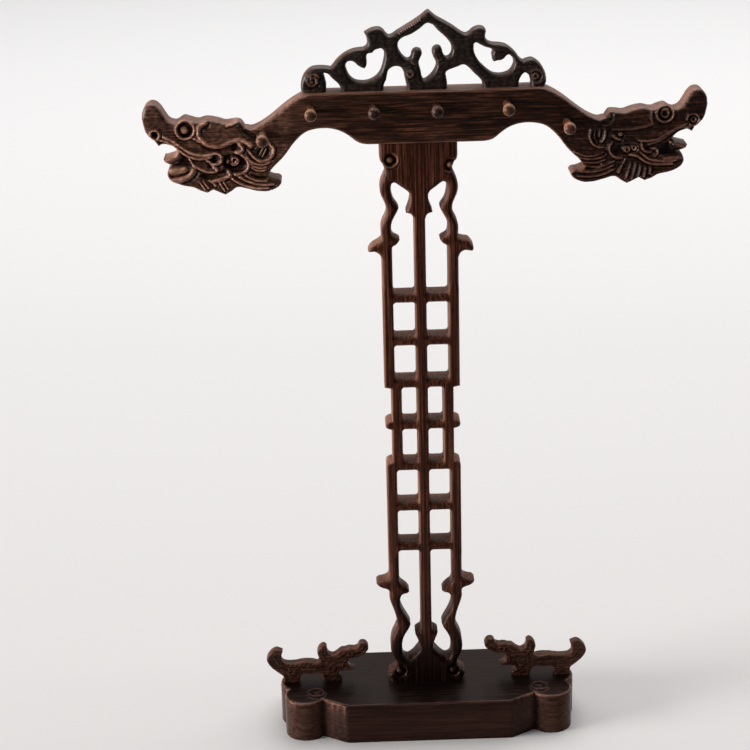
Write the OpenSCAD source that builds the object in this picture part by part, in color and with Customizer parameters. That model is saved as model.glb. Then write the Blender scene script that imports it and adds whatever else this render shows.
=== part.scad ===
// Standing brush rack in dark carved wood: a moulded base, a pierced post, a cross bar with a beast head
// at each end and rows of hanging pegs, a pierced crest and two small beasts on the base.
// The bar runs along X, the front faces -Y, and the origin lies under the post on the base's underside.

/* [Base] */
// Length of the base along the bar
base_len = 172; // [160:1:190]
// Depth of the base from front to back
base_dep = 66; // [60:1:76]
// Height of the base
base_h = 24; // [21:0.5:30]
// Length of the straight middle of the base's front
base_flat = 95; // [84:1:104]
// Radius of the round lobe at each corner of the base
lobe_r = 12; // [10:0.5:14]
// How far the lobes stay behind the ends of the base
lobe_in = 2.7; // [1:0.1:4]
// How far the lobes stay behind the straight front of the base
lobe_back = 4; // [2:0.1:6]
// Radius of the swelling in the middle of each end
end_r = 14; // [12:0.5:16]
// Diameter of the carved rosettes on the base's top
rosette_d = 12; // [8:0.5:14]
// Height of the rosettes above the base's top
rosette_h = 1.2; // [0.6:0.1:2]
// How far each rosette lies inward of the centre of its lobe
rosette_in = 6.5; // [4:0.5:9]

/* [Post] */
// Height of the post between its shoulders
post_h = 322.5; // [300:0.5:360]
// Width of the post over its two side stiles
post_w = 42; // [40:0.5:48]
// Thickness of the post
post_t = 14; // [12:0.5:16]
// Width of each side stile
stile_w = 5.9; // [5:0.1:6.5]
// Width of the middle stile
mid_w = 6.2; // [5:0.1:6.4]
// Width of the rails between the windows
rail_w = 5.1; // [4:0.1:6.5]
// Rows of windows, an even count
rows = 6; // [4:2:8]
// Length of the open carving at each end of the post
end_open = 84.3; // [82:0.1:90]
// How far the two middle rows are set in at the sides
waist_in = 3.6; // [2:0.1:4]
// Corner radius of the windows
window_r = 1.5; // [0.5:0.1:2.5]

/* [Tenons] */
// Thickness of the post's tenons
tenon_t = 8; // [6:0.5:9]
// Width of the tenon in the bar
bar_tenon_w = 24; // [18:0.5:28]
// Length of the tenon in the bar
bar_tenon_l = 14; // [10:0.5:16]
// Width of the tenon in the base
base_tenon_w = 28; // [20:0.5:32]
// Length of the tenon in the base
base_tenon_l = 16; // [12:0.5:17]

/* [Bar] */
// Length of the bar over both snouts
bar_len = 300; // [280:1:330]
// Height of the bar's straight middle
bar_h = 28; // [26:0.5:32]
// Thickness of the bar
bar_t = 17; // [15:0.5:20]
// How far the bar's middle lies to the right of the post's
bar_shift = 4; // [0:0.5:6]

/* [Crest] */
// How far each end of the crest reaches past the straight top of the bar
crest_over = 3; // [0:0.5:5]
// Height of the crest
crest_h = 41.4; // [36:0.2:48]
// Thickness of the crest
crest_t = 11; // [8:0.5:13]

/* [Small dragons] */
// Length of each small dragon
dragon_len = 59.7; // [54:0.1:64]
// Height of each small dragon
dragon_h = 24.7; // [22:0.1:30]
// Thickness of each small dragon
dragon_t = 7; // [6:0.5:10]
// How far each small dragon's tail reaches past the end of the base
dragon_over = 7.7; // [5:0.1:9]

/* [Pegs] */
// Diameter of a peg's shank
peg_d = 4.2; // [3.5:0.1:5]
// Diameter of a peg's head
peg_head_d = 6.4; // [5.2:0.1:8]
// Length of a peg's head
peg_head_l = 7; // [5:0.5:9]
// How far a peg stands out of the bar
peg_out = 19; // [14:0.5:24]
// How deep a peg sits in the bar
peg_in = 6; // [4:0.5:7]
// How far the row of four pegs lies below the bar's top
peg_drop = 8; // [6:0.5:12]

/* [Dowels] */
// Diameter of the dowels under the crest
crest_dowel_d = 4; // [3:0.1:5]
// Length of the dowels under the crest
crest_dowel_l = 8; // [6:0.5:10]
// Diameter of the dowels under the small dragons' feet
foot_dowel_d = 3; // [2:0.1:4]
// Length of the dowels under the small dragons' feet
foot_dowel_l = 8; // [6:0.5:9]

/* [Fits] */
// Clearance on each side of a dry tenon
fit_gap = 0.15; // [0.1:0.05:0.3]
// Clearance around a glued peg or dowel
glue_gap = 0.05; // [0.02:0.01:0.1]
// Room left past the end of a tenon, peg or dowel
end_gap = 0.5; // [0.2:0.1:1]

/* [Detail] */
// Straight pieces in each stretch of a carved curve
steps = 4; // [2:1:6]

/* [Hidden] */
$fn = 64;
dark_wood = "#2b1c17";
red_wood = "#3d251b";
tan_wood = "#7a4a2c";
overlap = 1;

post_z = base_h;
bar_z = post_z + post_h;
crest_z = bar_z + bar_h;
lobe_x = base_len / 2 - lobe_in - lobe_r;
lobe_y = base_dep / 2 - lobe_back - lobe_r;
window_h = (post_h - 2 * end_open - (rows + 1) * rail_w) / rows;
pitch = window_h + rail_w;
waist_row = rows / 2 - 1;
head_steps = 8;
corner_steps = 3;

// Angle around a lobe at which the slanting front of the base meets it
lobe_start = 35;

// An outline's point is [x, z], or [x, z, 1] where the outline turns sharply.

// Half of the bar from its shoulder over the head to the tongue, and from the lower lip back under the arch:
// inward of the snout, above the bar's underside
shoulder = 88;
arch_end = 119;
upper_head = [
    [84.5, 26.7], [80, 24.3], [75, 20.9], [70, 17], [65, 13.3], [61.2, 11.1], [57.5, 9.8], [54, 10.5, 1],
    [51.7, 13.5], [48, 13.5], [44, 13.1], [39.5, 14.5], [34, 15.4], [29, 14.4], [25.5, 15.4], [22, 16.3],
    [17.7, 14.1], [14.2, 15.1], [12, 18], [9, 22.7], [6.5, 24.5], [4, 24.5], [1.3, 22.3], [0, 18.5],
    [0.5, 14], [1.7, 9.5], [3.8, 6.5], [6.5, 4.3], [8, 2, 1], [10, 3.1], [13, 2.7], [16, 1.3],
    [18.7, -1.5, 1], [16, -3.8], [13, -4.7], [10.2, -5.2, 1], [10.8, -6.7], [12.4, -7.7, 1]
];
lower_head = [
    [13.1, -9.8, 1], [12.2, -11.6], [11.8, -13.4], [12.5, -15.6], [14.4, -17.5], [17.2, -19],
    [21.5, -20.2], [25.5, -21], [29, -22.9], [32.7, -24.2, 1], [35.8, -22.5, 1], [39.5, -24.2],
    [42.2, -25.5, 1], [45.5, -23.6], [48.8, -21.5], [54, -22.5], [60, -24], [65, -24.2], [68.7, -23.1],
    [71.4, -21.3], [72.5, -19.4], [71.4, -18], [68.3, -17.4], [65.2, -16.2, 1], [67.7, -11.9], [71, -8.7],
    [73.8, -5.9], [76.2, -2.9], [78.8, 0.7], [81.5, 3.7], [84.5, 6.4], [87.5, 8.1], [91, 9], [95, 9.4],
    [99, 9.2], [103.5, 8.1], [107, 6.4], [110, 4.3], [112.8, 2], [115.5, 0.6]
];

// End of the slit between the tongue and the lower lip, deeper on the right head than on the left
slit_ends = [[14, -8.8, 1], [17, -8.9, 1]];

// Crest as drawn: across from the bar's middle, above the bar's top
crest_w = bar_len - 2 * shoulder + 2 * crest_over;
crest_drawn = [130, 41.4];
crest_edge = [
    [-65.2, 0, 1], [-65.5, 3.2], [-65, 6.2], [-64, 8.7], [-62, 11.2], [-59.5, 12.9], [-56, 13.4],
    [-52, 13.2], [-49.5, 12.7, 1], [-48.5, 13.7], [-46.5, 16.2], [-44, 18.5], [-41, 20.4], [-37.5, 21.9],
    [-34, 22.4], [-31.3, 22.8], [-30.1, 24], [-29.9, 26.5], [-30.4, 29], [-31.3, 30.6, 1], [-30, 31.3],
    [-28, 32.4], [-25.5, 33], [-23, 32.9], [-21.2, 31.7], [-19.8, 29.8], [-18.3, 28.8], [-17, 29.1],
    [-14, 31], [-9, 33.9], [-4, 36.9], [-0.5, 39.4], [1.5, 41], [2.5, 41.4], [4, 40.2], [6, 38.5],
    [11, 35.5], [16, 32.4], [20, 29.5], [22, 28.7], [23.5, 29.2], [25.5, 30.9], [27.5, 31.9], [29.5, 32.2],
    [31.5, 31.7], [32.7, 30.2], [32.4, 27.9], [32.5, 26], [33.5, 24.5], [36, 23.4], [40, 23], [43, 22.2],
    [46, 20.2], [48.5, 17.7], [50.5, 14.9], [52.3, 13.6, 1], [54.5, 14.4], [57, 14.7], [59, 13.7],
    [61.5, 11.5], [63.5, 8.2], [64.5, 4.5], [64.5, 2], [63.8, 0, 1], [56.3, 0, 1], [56.2, 3], [55, 6.1],
    [53.2, 7.2], [51.5, 5.7], [50.2, 3], [49.8, 0, 1], [31, 0, 1], [30.3, 3.3], [26, 8], [23.5, 10.7],
    [21.5, 12.2], [20, 12.3], [18, 11.5], [15, 10.5], [12.5, 9.5], [11.4, 8.4], [11.6, 6], [12, 3.5],
    [11.9, 0, 1], [-9.3, 0, 1], [-9.8, 3.5], [-10.5, 6.5], [-11, 9.5], [-12, 11.5], [-14.5, 12.5],
    [-17, 12], [-18.9, 10.5], [-19.7, 8], [-20.2, 5.5], [-21.3, 3.3], [-21.8, 0, 1], [-43.8, 0, 1],
    [-45.2, 3.4], [-48.5, 6.7], [-51.8, 9.8], [-53, 9.9], [-52.6, 7], [-51.9, 3.5], [-52.3, 0, 1]
];
crest_left_hole = [
    [-41.3, 14.3], [-40.5, 15.5], [-39, 15.9], [-37, 15.3], [-35, 13.4], [-33, 12.2], [-31.5, 11.7, 1],
    [-30.6, 13], [-30.2, 15.5], [-30.3, 18], [-30, 19.2], [-29, 19.7], [-27.3, 19.9], [-26, 21.2],
    [-24, 21.9], [-22.5, 22.1], [-21.3, 21], [-21, 18.5], [-21.6, 15], [-22.8, 11], [-24.5, 8.2], [-27, 6.2],
    [-30, 5], [-33.5, 4.8], [-37, 5.6], [-39.3, 7.6], [-40.9, 10.8]
];
crest_right_hole = [
    [26.3, 21.5], [26.5, 23.2], [27.5, 23.8], [29, 23.1], [32, 21.5], [34.5, 20.7], [35.8, 20], [36.2, 19],
    [35.7, 17.5], [36, 15.5], [36.2, 14], [37, 13.5, 1], [39, 14], [41, 14.3], [42.5, 15.3], [43.5, 16.5],
    [44.7, 17], [46, 16.1], [47, 14.5], [47.3, 12.5], [46.6, 10.3], [45, 8.2], [43, 7.2], [39.5, 6.7],
    [36.5, 7.2], [34, 8.7], [31.5, 10.9], [29, 13.6], [27.3, 16.6], [26.4, 19.3]
];
crest_mid_hole = [
    [-13.7, 24], [-13, 26], [-11, 27.6], [-8.5, 28.5], [-6, 29.5], [-4, 30.7], [-2, 32], [0, 33.7],
    [1.2, 34.5], [2.5, 34.8], [3.5, 34.4], [5, 33.7], [6, 32.5], [8, 30.3], [10, 28.5], [12, 26.5],
    [13.5, 24.5], [14.5, 22], [14.5, 19.5], [13.7, 17.6], [12.2, 16.6], [10.8, 17], [10, 18.6], [9.5, 20.6],
    [8.7, 22], [7.3, 22.6], [5.8, 22.3], [4.6, 21.2], [4.2, 19.4], [4.8, 17], [5.9, 14.8], [6.3, 12.6],
    [5.5, 10.2], [4.2, 8.2], [2.4, 6.4], [0.6, 5.1], [-0.4, 4.9], [-1.2, 6.2], [-1.8, 9.5], [-2.6, 12.5],
    [-2.8, 14.6], [-2, 16.5], [-1.2, 18.3], [-1.1, 19.6], [-1.9, 20.9], [-3.5, 21.5], [-5.4, 21],
    [-6.5, 19.5], [-7, 17.5], [-7.8, 16.4], [-9, 16.2], [-10.8, 17.4], [-12.3, 19.4], [-13.4, 21.6]
];
crest_dowel_at = [-56, 59.5];

// Post: the side's carving at each end, inward of the post's side, below the top or above the foot
top_edge = [
    [0, 0, 1], [0, 7.5, 1], [0.4, 9.6], [1.6, 11.5], [2.7, 14.2, 1], [2.6, 16.2], [1.8, 18.2], [0.6, 20.9],
    [-0.1, 24], [-0.1, 26.2], [0.4, 28.5], [1.5, 31.2], [2.5, 33.5], [3.1, 35.7, 1], [3.1, 38], [2.3, 40.7],
    [1, 43.2], [0.1, 46], [-0.1, 48.7], [0.1, 51.5], [0, 53.5, 1]
];
// The curl under the top carving, slimmer on the left than on the right
top_curls = [
    [[-1.8, 55], [-4.2, 56.3], [-6.1, 58], [-7.4, 60.2, 1], [-6, 60.6], [-4, 60.4], [-2, 61.3], [-0.6, 62.8],
        [0, 65, 1]],
    [[-2.4, 54.3], [-5.4, 54.9], [-7, 56.6], [-8.3, 59.2], [-7.9, 61.2], [-6, 61.2], [-3.6, 60.9], [-1.4, 62],
        [0, 65, 1]]
];
foot_edge = [
    [0, 70, 1], [-0.3, 67], [-1.5, 65.6], [-3.5, 64.8], [-6, 64.3], [-7.3, 63.3, 1], [-6.4, 62], [-4, 60.5],
    [-1.6, 59.7], [-0.2, 58.6], [0.1, 57], [0, 54.5], [0.6, 51.5], [1.7, 48.2], [2.9, 44.5], [3.8, 40.5],
    [4.1, 36.3, 1], [2.8, 33], [1.2, 29.5], [0.3, 25.5], [0.1, 21.5], [0.6, 18.2], [1.8, 15.5], [3, 13.3],
    [3.5, 11.2, 1], [2.8, 8.6], [1, 7], [-0.6, 5.9], [-1.6, 4.4, 1], [-0.6, 2.6], [0, 0, 1]
];
// The openings beside the middle stile: their outer sides inward of the post's side, their inner sides
// across from its middle
top_open_side = [
    [stile_w, 59.5, 1], [6.2, 58], [7.7, 57.1], [9.3, 55.6], [10.1, 54, 1], [8.7, 52.9], [7, 52], [6, 50.7],
    [5.7, 48.5], [5.8, 45.5], [6.6, 42.9], [8, 40.2], [9.2, 38], [9.9, 36.3, 1], [9, 34.7], [7.6, 32.7],
    [6.6, 30.2], [6.1, 27.5], [6, 24.5], [6.5, 22.7], [7.7, 22.1]
];
top_open_mid = [
    [11.8, 22.8], [10, 24.2], [7.5, 26], [5.6, 27.5], [5, 28.6, 1], [4.9, 30.5], [5.4, 33.5], [6.3, 36.2],
    [7.1, 38.2], [7.2, 39, 1], [6, 39.2], [4.6, 39.5], [3.7, 40.7], [mid_w / 2, 42.7, 1]
];
foot_open_side = [
    [stile_w, 65, 1], [6.2, 63.5], [7, 62.2], [8.5, 61], [10.2, 59.5], [11.5, 57.6, 1], [10.5, 56.8],
    [8.5, 56.3], [7.1, 55.3], [6.4, 53.5], [6.2, 51], [6.4, 48.5], [7.2, 45.8], [8.5, 43], [10, 40.2],
    [11.2, 38], [11.9, 36.3, 1], [11, 34], [9, 30.7], [7.7, 28], [7, 25.3], [6.8, 21], [6.9, 17.5], [8, 15],
    [9.8, 14.2]
];
foot_open_mid = [
    [9, 15.4], [6.5, 17.8], [4.2, 20.6], [3.6, 22, 1], [4.3, 25.3], [5.3, 27.8], [6.3, 30], [6.6, 31.2, 1],
    [5.5, 32], [3.9, 32.6], [3.3, 34], [mid_w / 2, 36.5, 1]
];

// The side's waist at the two middle rows: share of the set-in, below the upper row's top and foot and below
// the lower row's top and foot
waist_start = [[0, -0.3, 1], [1, 0.5, 1]];
bump_top = [[1, -0.4, 1], [0.5, 0.2], [0.05, 1.4]];
bump_foot = [[0, -rail_w / 2], [0.1, -1.1], [0.5, -0.3], [1, 0.2, 1]];
waist_end = [[1, -0.4, 1], [0.5, 0.2], [0.1, 1.2], [0, 3, 1]];

// Small dragon as drawn: back from its snout, above its feet
dragon_x = base_len / 2 + dragon_over - dragon_len;
dragon_drawn = [59.7, 24.7];
dragon_edge = [
    [0, 20.7], [0.4, 22.8], [1.7, 24.2], [3.6, 24.7], [5.3, 24], [6.3, 22], [8.6, 21], [11.1, 21.3],
    [13.6, 20.6], [16.1, 20.3], [18.6, 18.3], [21.1, 17.1], [23.3, 18.2], [24.3, 20.5], [24.4, 22.6, 1],
    [25.9, 23.6], [27.9, 23], [29.5, 20.9], [30, 18.9], [29.4, 16.2], [28.7, 13.4, 1], [31.1, 12.2],
    [34.1, 12.7], [37.1, 13.4], [39.6, 13.1], [43.1, 12.6], [47.1, 12.6], [49.6, 13.2], [51, 15], [51, 17.5],
    [50.2, 20.3, 1], [51.6, 20.9], [53.6, 21.6], [55.6, 21], [57.4, 19.6], [58.9, 17.6], [59.7, 15],
    [58.9, 12.5], [57.1, 10], [54.6, 7.6], [52.1, 5.6], [50.6, 4.2], [50.3, 2], [50.4, 0, 1], [41.2, 0, 1],
    [40.6, 2.2], [39.7, 5], [34.5, 5.4], [28.3, 5], [27, 2.4], [26.2, 0, 1], [17, 0, 1], [15.9, 1.2],
    [16.4, 3], [18, 4.4], [17.6, 6], [15.2, 6.7], [12.2, 6.8], [9.8, 7.2], [8.3, 8.6, 1], [10.3, 8.7],
    [12, 10.3], [12.5, 12.6, 1], [11.1, 14.4], [9, 14.8], [6.1, 15.3], [3.6, 16.6], [1.1, 18.3]
];
front_foot_at = 21.5;
rear_foot_at = 45.8;

// Pegs on the bar, [x, z] from its middle and its underside: one on each neck and four in a row between them,
// set out by eye
neck_pegs_in = [63.7, 75.1];
neck_pegs_z = [7, 9.2];
// How much lower the neck pegs sit on the bar's back
rear_neck_drop = 4.5;
row_starts = 1.5;
row_ends = 19;
row_shares = [0, 0.32, 0.64, 1];
row_len = bar_len - 2 * shoulder - row_starts - row_ends;
peg_at = concat(
    [[neck_pegs_in[0] - bar_len / 2, neck_pegs_z[0]]],
    [for (share = row_shares) [shoulder - bar_len / 2 + row_starts + share * row_len, bar_h - peg_drop]],
    [[bar_len / 2 - neck_pegs_in[1], neck_pegs_z[1]]]
);
pegs = len(peg_at);

// Outline curves

function xy(p) = [p[0], p[1]];

function sharp(p) = len(p) > 2;

// The outline's points stretched by a factor each way and then moved, sharp turns kept
function placed(list, at, by) =
    [for (p = list) concat([at[0] + by[0] * p[0], at[1] + by[1] * p[1]], sharp(p) ? [1] : [])];

function reversed(list) = [for (i = [len(list) - 1:-1:0]) list[i]];

// Closed outline from a right side that runs from its top to its bottom and the mirror image of a left one
function both_sides(right, left) = concat(right, reversed(placed(left, [0, 0], [-1, 1])));

// Direction in which a closed outline arrives at or leaves its point i
function heading(list, i, leaving) =
    let (
        n = len(list),
        a = xy(list[(i + n - 1) % n]),
        b = xy(list[i]),
        c = xy(list[(i + 1) % n]),
        before = norm(b - a),
        after = norm(c - b)
    )
    sharp(list[i])
        ? (leaving ? (c - b) / after : (b - a) / before)
        : ((b - a) / before * after + (c - b) / after * before) / (before + after);

// Smooth closed curve through the points, straight between two sharp turns
function curved(list) =
    let (n = len(list))
    [for (i = [0:n - 1])
        let (
            j = (i + 1) % n,
            a = xy(list[i]),
            b = xy(list[j]),
            span = norm(b - a),
            u = span * heading(list, i, true),
            v = span * heading(list, j, false),
            pieces = sharp(list[i]) && sharp(list[j]) ? 1 : steps
        )
        for (k = [0:pieces - 1])
            let (t = k / pieces, s = 1 - t)
            s * s * (1 + 2 * t) * a + t * t * (3 - 2 * t) * b + s * s * t * u - t * t * s * v];

// Quarter round of radius r that turns the square corner c between the sides towards a and b
function bend(a, c, b, r) =
    let (u = (a - c) / norm(a - c), v = (b - c) / norm(b - c))
    [for (k = [0:corner_steps])
        let (turn = 90 * k / corner_steps)
        concat(c + r * (u * (1 - sin(turn)) + v * (1 - cos(turn))), [1])];

// Flat board cut to shape, standing in the XZ plane and centred on it
module board(thick) {
    rotate([90, 0, 0])
        linear_extrude(thick, center = true)
            children();
}

// Round pin or bore along Z from z = 0
module pin(d, length, gap = 0) {
    translate([0, 0, -gap])
        cylinder(d = d + 2 * gap, h = length + 2 * gap);
}

// Base

module base_plan() {
    lobe_edge = [lobe_x - lobe_r * cos(lobe_start), lobe_y + lobe_r * sin(lobe_start)];
    quarter = [[base_flat / 2, base_dep / 2, 1], concat(lobe_edge, [1]), [lobe_x, lobe_y, 1]];
    end_x = base_len / 2 - end_r;
    right = concat(quarter, [[end_x, 0, 1]], reversed(placed(quarter, [0, 0], [1, -1])));
    polygon(curved(both_sides(right, right)));
    for (sx = [-1, 1]) {
        translate([sx * end_x, 0])
            circle(end_r);
        for (sy = [-1, 1])
            translate([sx * lobe_x, sy * lobe_y])
                circle(lobe_r);
    }
}

module base() {
    mortise = [base_tenon_w + 2 * fit_gap, tenon_t + 2 * fit_gap, base_tenon_l + end_gap + overlap];
    color(dark_wood)
        difference() {
            union() {
                linear_extrude(base_h)
                    base_plan();
                for (sx = [-1, 1], sy = [-1, 1])
                    translate([sx * (lobe_x - rosette_in), sy * lobe_y, base_h - overlap])
                        cylinder(d = rosette_d, h = rosette_h + overlap);
            }
            translate([0, 0, base_h + overlap - mortise[2] / 2])
                cube(mortise, center = true);
            for (side = [-1, 1], foot = [front_foot_at, rear_foot_at])
                foot_dowel(side, foot, glue_gap);
        }
}

// Post

function row_top(i) = end_open + rail_w + i * pitch;

// Right side of the post between its two carved ends, with the middle rows set in
function waist_edge() =
    let (upper = row_top(waist_row), lower = row_top(waist_row + 1), by = [waist_in, 1])
    concat(
        placed(waist_start, [0, upper], by),
        placed(bump_top, [0, upper + window_h], by),
        placed(bump_foot, [0, lower], by),
        placed(waist_end, [0, lower + window_h], by)
    );

// One side of the post with the curl that it has
function post_side(curl) =
    concat(
        placed(concat(top_edge, curl, waist_edge()), [post_w / 2, post_h], [-1, -1]),
        placed(foot_edge, [post_w / 2, 0], [-1, 1])
    );

module post_face() {
    edge = post_w / 2;
    slot_x = [mid_w / 2, edge - stile_w];
    slot_z = [end_open, post_h - end_open];
    top_open = concat(
        bend([slot_x[0], post_h], [slot_x[0], slot_z[1]], [slot_x[1], slot_z[1]], window_r),
        bend([slot_x[0], slot_z[1]], [slot_x[1], slot_z[1]], [slot_x[1], post_h], window_r),
        placed(top_open_side, [edge, post_h], [-1, -1]),
        placed(top_open_mid, [0, post_h], [1, -1])
    );
    foot_open = concat(
        bend([slot_x[0], 0], [slot_x[0], slot_z[0]], [slot_x[1], slot_z[0]], window_r),
        bend([slot_x[0], slot_z[0]], [slot_x[1], slot_z[0]], [slot_x[1], 0], window_r),
        placed(foot_open_side, [edge, 0], [-1, 1]),
        placed(foot_open_mid, [0, 0], [1, 1])
    );
    difference() {
        polygon(curved(both_sides(post_side(top_curls[1]), post_side(top_curls[0]))));
        for (sx = [0, 1])
            mirror([sx, 0]) {
                polygon(curved(top_open));
                polygon(curved(foot_open));
                for (i = [0:rows - 1])
                    post_window(i);
            }
    }
}

module post_window(i) {
    narrow = i == waist_row || i == waist_row + 1 ? waist_in : 0;
    x0 = mid_w / 2;
    x1 = post_w / 2 - stile_w - narrow;
    z1 = post_h - row_top(i);
    z0 = z1 - window_h;
    corners = [[x0, z0], [x1, z0], [x1, z1], [x0, z1]];
    polygon(curved([for (k = [0:3])
        each bend(corners[(k + 3) % 4], corners[k], corners[(k + 1) % 4], window_r)]));
}

module post() {
    color(red_wood)
        translate([0, 0, post_z])
            union() {
                board(post_t)
                    post_face();
                translate([-base_tenon_w / 2, -tenon_t / 2, -base_tenon_l])
                    cube([base_tenon_w, tenon_t, base_tenon_l + overlap]);
                translate([-bar_tenon_w / 2, -tenon_t / 2, post_h - overlap])
                    cube([bar_tenon_w, tenon_t, bar_tenon_l + overlap]);
            }
}

// Bar

// One half of the bar with the slit that its head has
function bar_side(slit_end) =
    let (tip = bar_len / 2)
    concat(
        [[tip - shoulder, bar_h, 1]],
        placed(concat(upper_head, [slit_end], lower_head), [tip, 0], [-1, 1]),
        [[tip - arch_end, 0, 1]]
    );

module bar_face() {
    polygon(curved(both_sides(bar_side(slit_ends[1]), bar_side(slit_ends[0]))));
}

module bar() {
    mortise = [bar_tenon_w + 2 * fit_gap, tenon_t + 2 * fit_gap, bar_tenon_l + end_gap + overlap];
    color(red_wood)
        difference() {
            translate([bar_shift, 0, bar_z])
                board(bar_t)
                    bar_face();
            translate([0, 0, bar_z - overlap + mortise[2] / 2])
                cube(mortise, center = true);
            for (i = [0:pegs - 1], turn = [0, 180])
                peg_place(i, turn)
                    translate([0, 0, -peg_in - end_gap])
                        cylinder(d = peg_d + 2 * glue_gap, h = peg_in + end_gap + overlap);
            for (side = [0, 1])
                crest_dowel(side, glue_gap);
        }
}

// Pegs

// Frame of a peg: its axis points out of the bar's face, which lies at z = 0
module peg_place(i, turn) {
    on_neck = i == 0 || i == pegs - 1;
    drop = on_neck && turn > 0 ? rear_neck_drop : 0;
    translate([bar_shift + peg_at[i][0], 0, bar_z + peg_at[i][1] - drop])
        rotate([0, 0, turn])
            rotate([90, 0, 0])
                translate([0, 0, bar_t / 2])
                    children();
}

// Shank that swells into an egg-shaped head
module peg(i, turn) {
    neck = peg_out - peg_head_l;
    start = asin(peg_d / peg_head_d);
    head_side = [for (k = [0:head_steps - 1])
        let (a = start + (180 - start) * k / head_steps)
        [peg_head_d / 2 * sin(a), neck + peg_head_l / 2 * (1 - cos(a))]];
    color(tan_wood)
        peg_place(i, turn)
            rotate_extrude()
                polygon(concat([[0, -peg_in], [peg_d / 2, -peg_in]], head_side, [[0, peg_out]]));
}

// Crest

module crest_face() {
    by = [crest_w / crest_drawn[0], crest_h / crest_drawn[1]];
    difference() {
        polygon(curved(placed(crest_edge, [0, 0], by)));
        for (hole = [crest_left_hole, crest_mid_hole, crest_right_hole])
            polygon(curved(placed(hole, [0, 0], by)));
    }
}

module crest() {
    color(dark_wood)
        difference() {
            translate([bar_shift, 0, crest_z])
                board(crest_t)
                    crest_face();
            for (side = [0, 1])
                crest_dowel(side, glue_gap);
        }
}

// Half of the dowel stands in the bar and half in the crest
module crest_dowel(side, gap = 0) {
    x = bar_shift + crest_dowel_at[side] * crest_w / crest_drawn[0];
    color(tan_wood)
        translate([x, 0, crest_z - crest_dowel_l / 2])
            pin(crest_dowel_d, crest_dowel_l, gap);
}

// Small dragons

module small_dragon(side) {
    by = [dragon_len / dragon_drawn[0], dragon_h / dragon_drawn[1]];
    color(dark_wood)
        difference() {
            translate([0, 0, base_h])
                board(dragon_t)
                    polygon(curved(placed(dragon_edge, [side * dragon_x, 0], [side * by[0], by[1]])));
            for (foot = [front_foot_at, rear_foot_at])
                foot_dowel(side, foot, glue_gap);
        }
}

// Half of the dowel stands in the base and half in the foot
module foot_dowel(side, foot, gap = 0) {
    x = side * (dragon_x + foot * dragon_len / dragon_drawn[0]);
    color(tan_wood)
        translate([x, 0, base_h - foot_dowel_l / 2])
            pin(foot_dowel_d, foot_dowel_l, gap);
}

base();
post();
bar();
crest();
small_dragon(-1);  // left_small_dragon
small_dragon(1);  // right_small_dragon
crest_dowel(0);  // crest_dowel_left
crest_dowel(1);  // crest_dowel_right
foot_dowel(-1, front_foot_at);  // left_dragon_front_dowel
foot_dowel(-1, rear_foot_at);  // left_dragon_rear_dowel
foot_dowel(1, front_foot_at);  // right_dragon_front_dowel
foot_dowel(1, rear_foot_at);  // right_dragon_rear_dowel
for (i = [1:pegs]) {
    peg(i - 1, 0);
    peg(i - 1, 180);
}
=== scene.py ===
# Carved rosewood brush rack dressed around its CAD frame: carved boards, a moulded base and turned pegs
import bpy
import numpy as np
from mathutils import Matrix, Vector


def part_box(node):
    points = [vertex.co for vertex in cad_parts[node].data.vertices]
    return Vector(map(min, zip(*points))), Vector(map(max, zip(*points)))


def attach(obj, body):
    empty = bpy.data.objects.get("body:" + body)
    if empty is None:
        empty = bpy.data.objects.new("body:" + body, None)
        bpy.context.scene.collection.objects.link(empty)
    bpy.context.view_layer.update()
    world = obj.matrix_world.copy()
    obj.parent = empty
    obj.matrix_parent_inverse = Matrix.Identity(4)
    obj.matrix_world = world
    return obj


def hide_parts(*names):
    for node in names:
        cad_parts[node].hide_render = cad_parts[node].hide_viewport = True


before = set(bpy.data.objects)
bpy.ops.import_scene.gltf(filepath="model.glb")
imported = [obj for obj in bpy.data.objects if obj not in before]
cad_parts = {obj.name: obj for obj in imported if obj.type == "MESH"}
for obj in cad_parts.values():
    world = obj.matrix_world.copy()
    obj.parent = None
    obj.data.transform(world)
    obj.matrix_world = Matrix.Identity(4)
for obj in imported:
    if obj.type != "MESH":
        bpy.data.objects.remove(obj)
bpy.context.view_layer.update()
mm = 0.001
onLine = 0.02  # mm within which a point counts as lying on a line or a face
margin = 0.2  # mm that a board's grid reaches past its outline
print("frame loaded:", len(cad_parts), "nodes")


# Small helpers for curves

def smooth(x, lo, hi):  # 0 below lo, 1 above hi, an S between them
    t = np.clip((x - lo) / (hi - lo), 0, 1)
    return t * t * (3 - 2 * t)


def curveThrough(points, closed=False, pieces=6):  # smooth curve through given points, cubic in stretches
    p = np.asarray(points, float)
    if closed:
        p = np.concatenate([p[-1:], p, p[:2]])
    elif len(p) < 3:
        return p
    slope = np.gradient(p, axis=0)
    if closed:
        p, slope = p[1:-1], slope[1:-1]
    t = (np.arange(pieces) / pieces)[None, :, None]
    a, b = p[:-1, None], p[1:, None]
    u, v = slope[:-1, None], slope[1:, None]
    curve = (1 - t) ** 2 * (1 + 2 * t) * a + t * t * (3 - 2 * t) * b
    curve = curve + (1 - t) ** 2 * t * u - t * t * (1 - t) * v
    return np.concatenate([curve.reshape(-1, 2), p[-1:]])


def spiral(x, z, outer, inner, turns, start):  # flat spiral, its radius running from outer to inner
    t = np.linspace(0, 1, max(12, int(24 * turns)))
    r = outer + (inner - outer) * t
    a = np.radians(start) + 2 * np.pi * turns * t
    return np.stack([x + r * np.cos(a), z + r * np.sin(a)], 1)


def placed(marks, closed, along, up, side):  # marks (a, b, path) moved to a start and turned to a side
    out = []
    for a, b, points in marks:
        path = curveThrough(points, closed) if isinstance(points, list) else points
        out.append((a, b, np.stack([along + side * path[:, 0], up + path[:, 1]], 1)))
    return out


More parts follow.
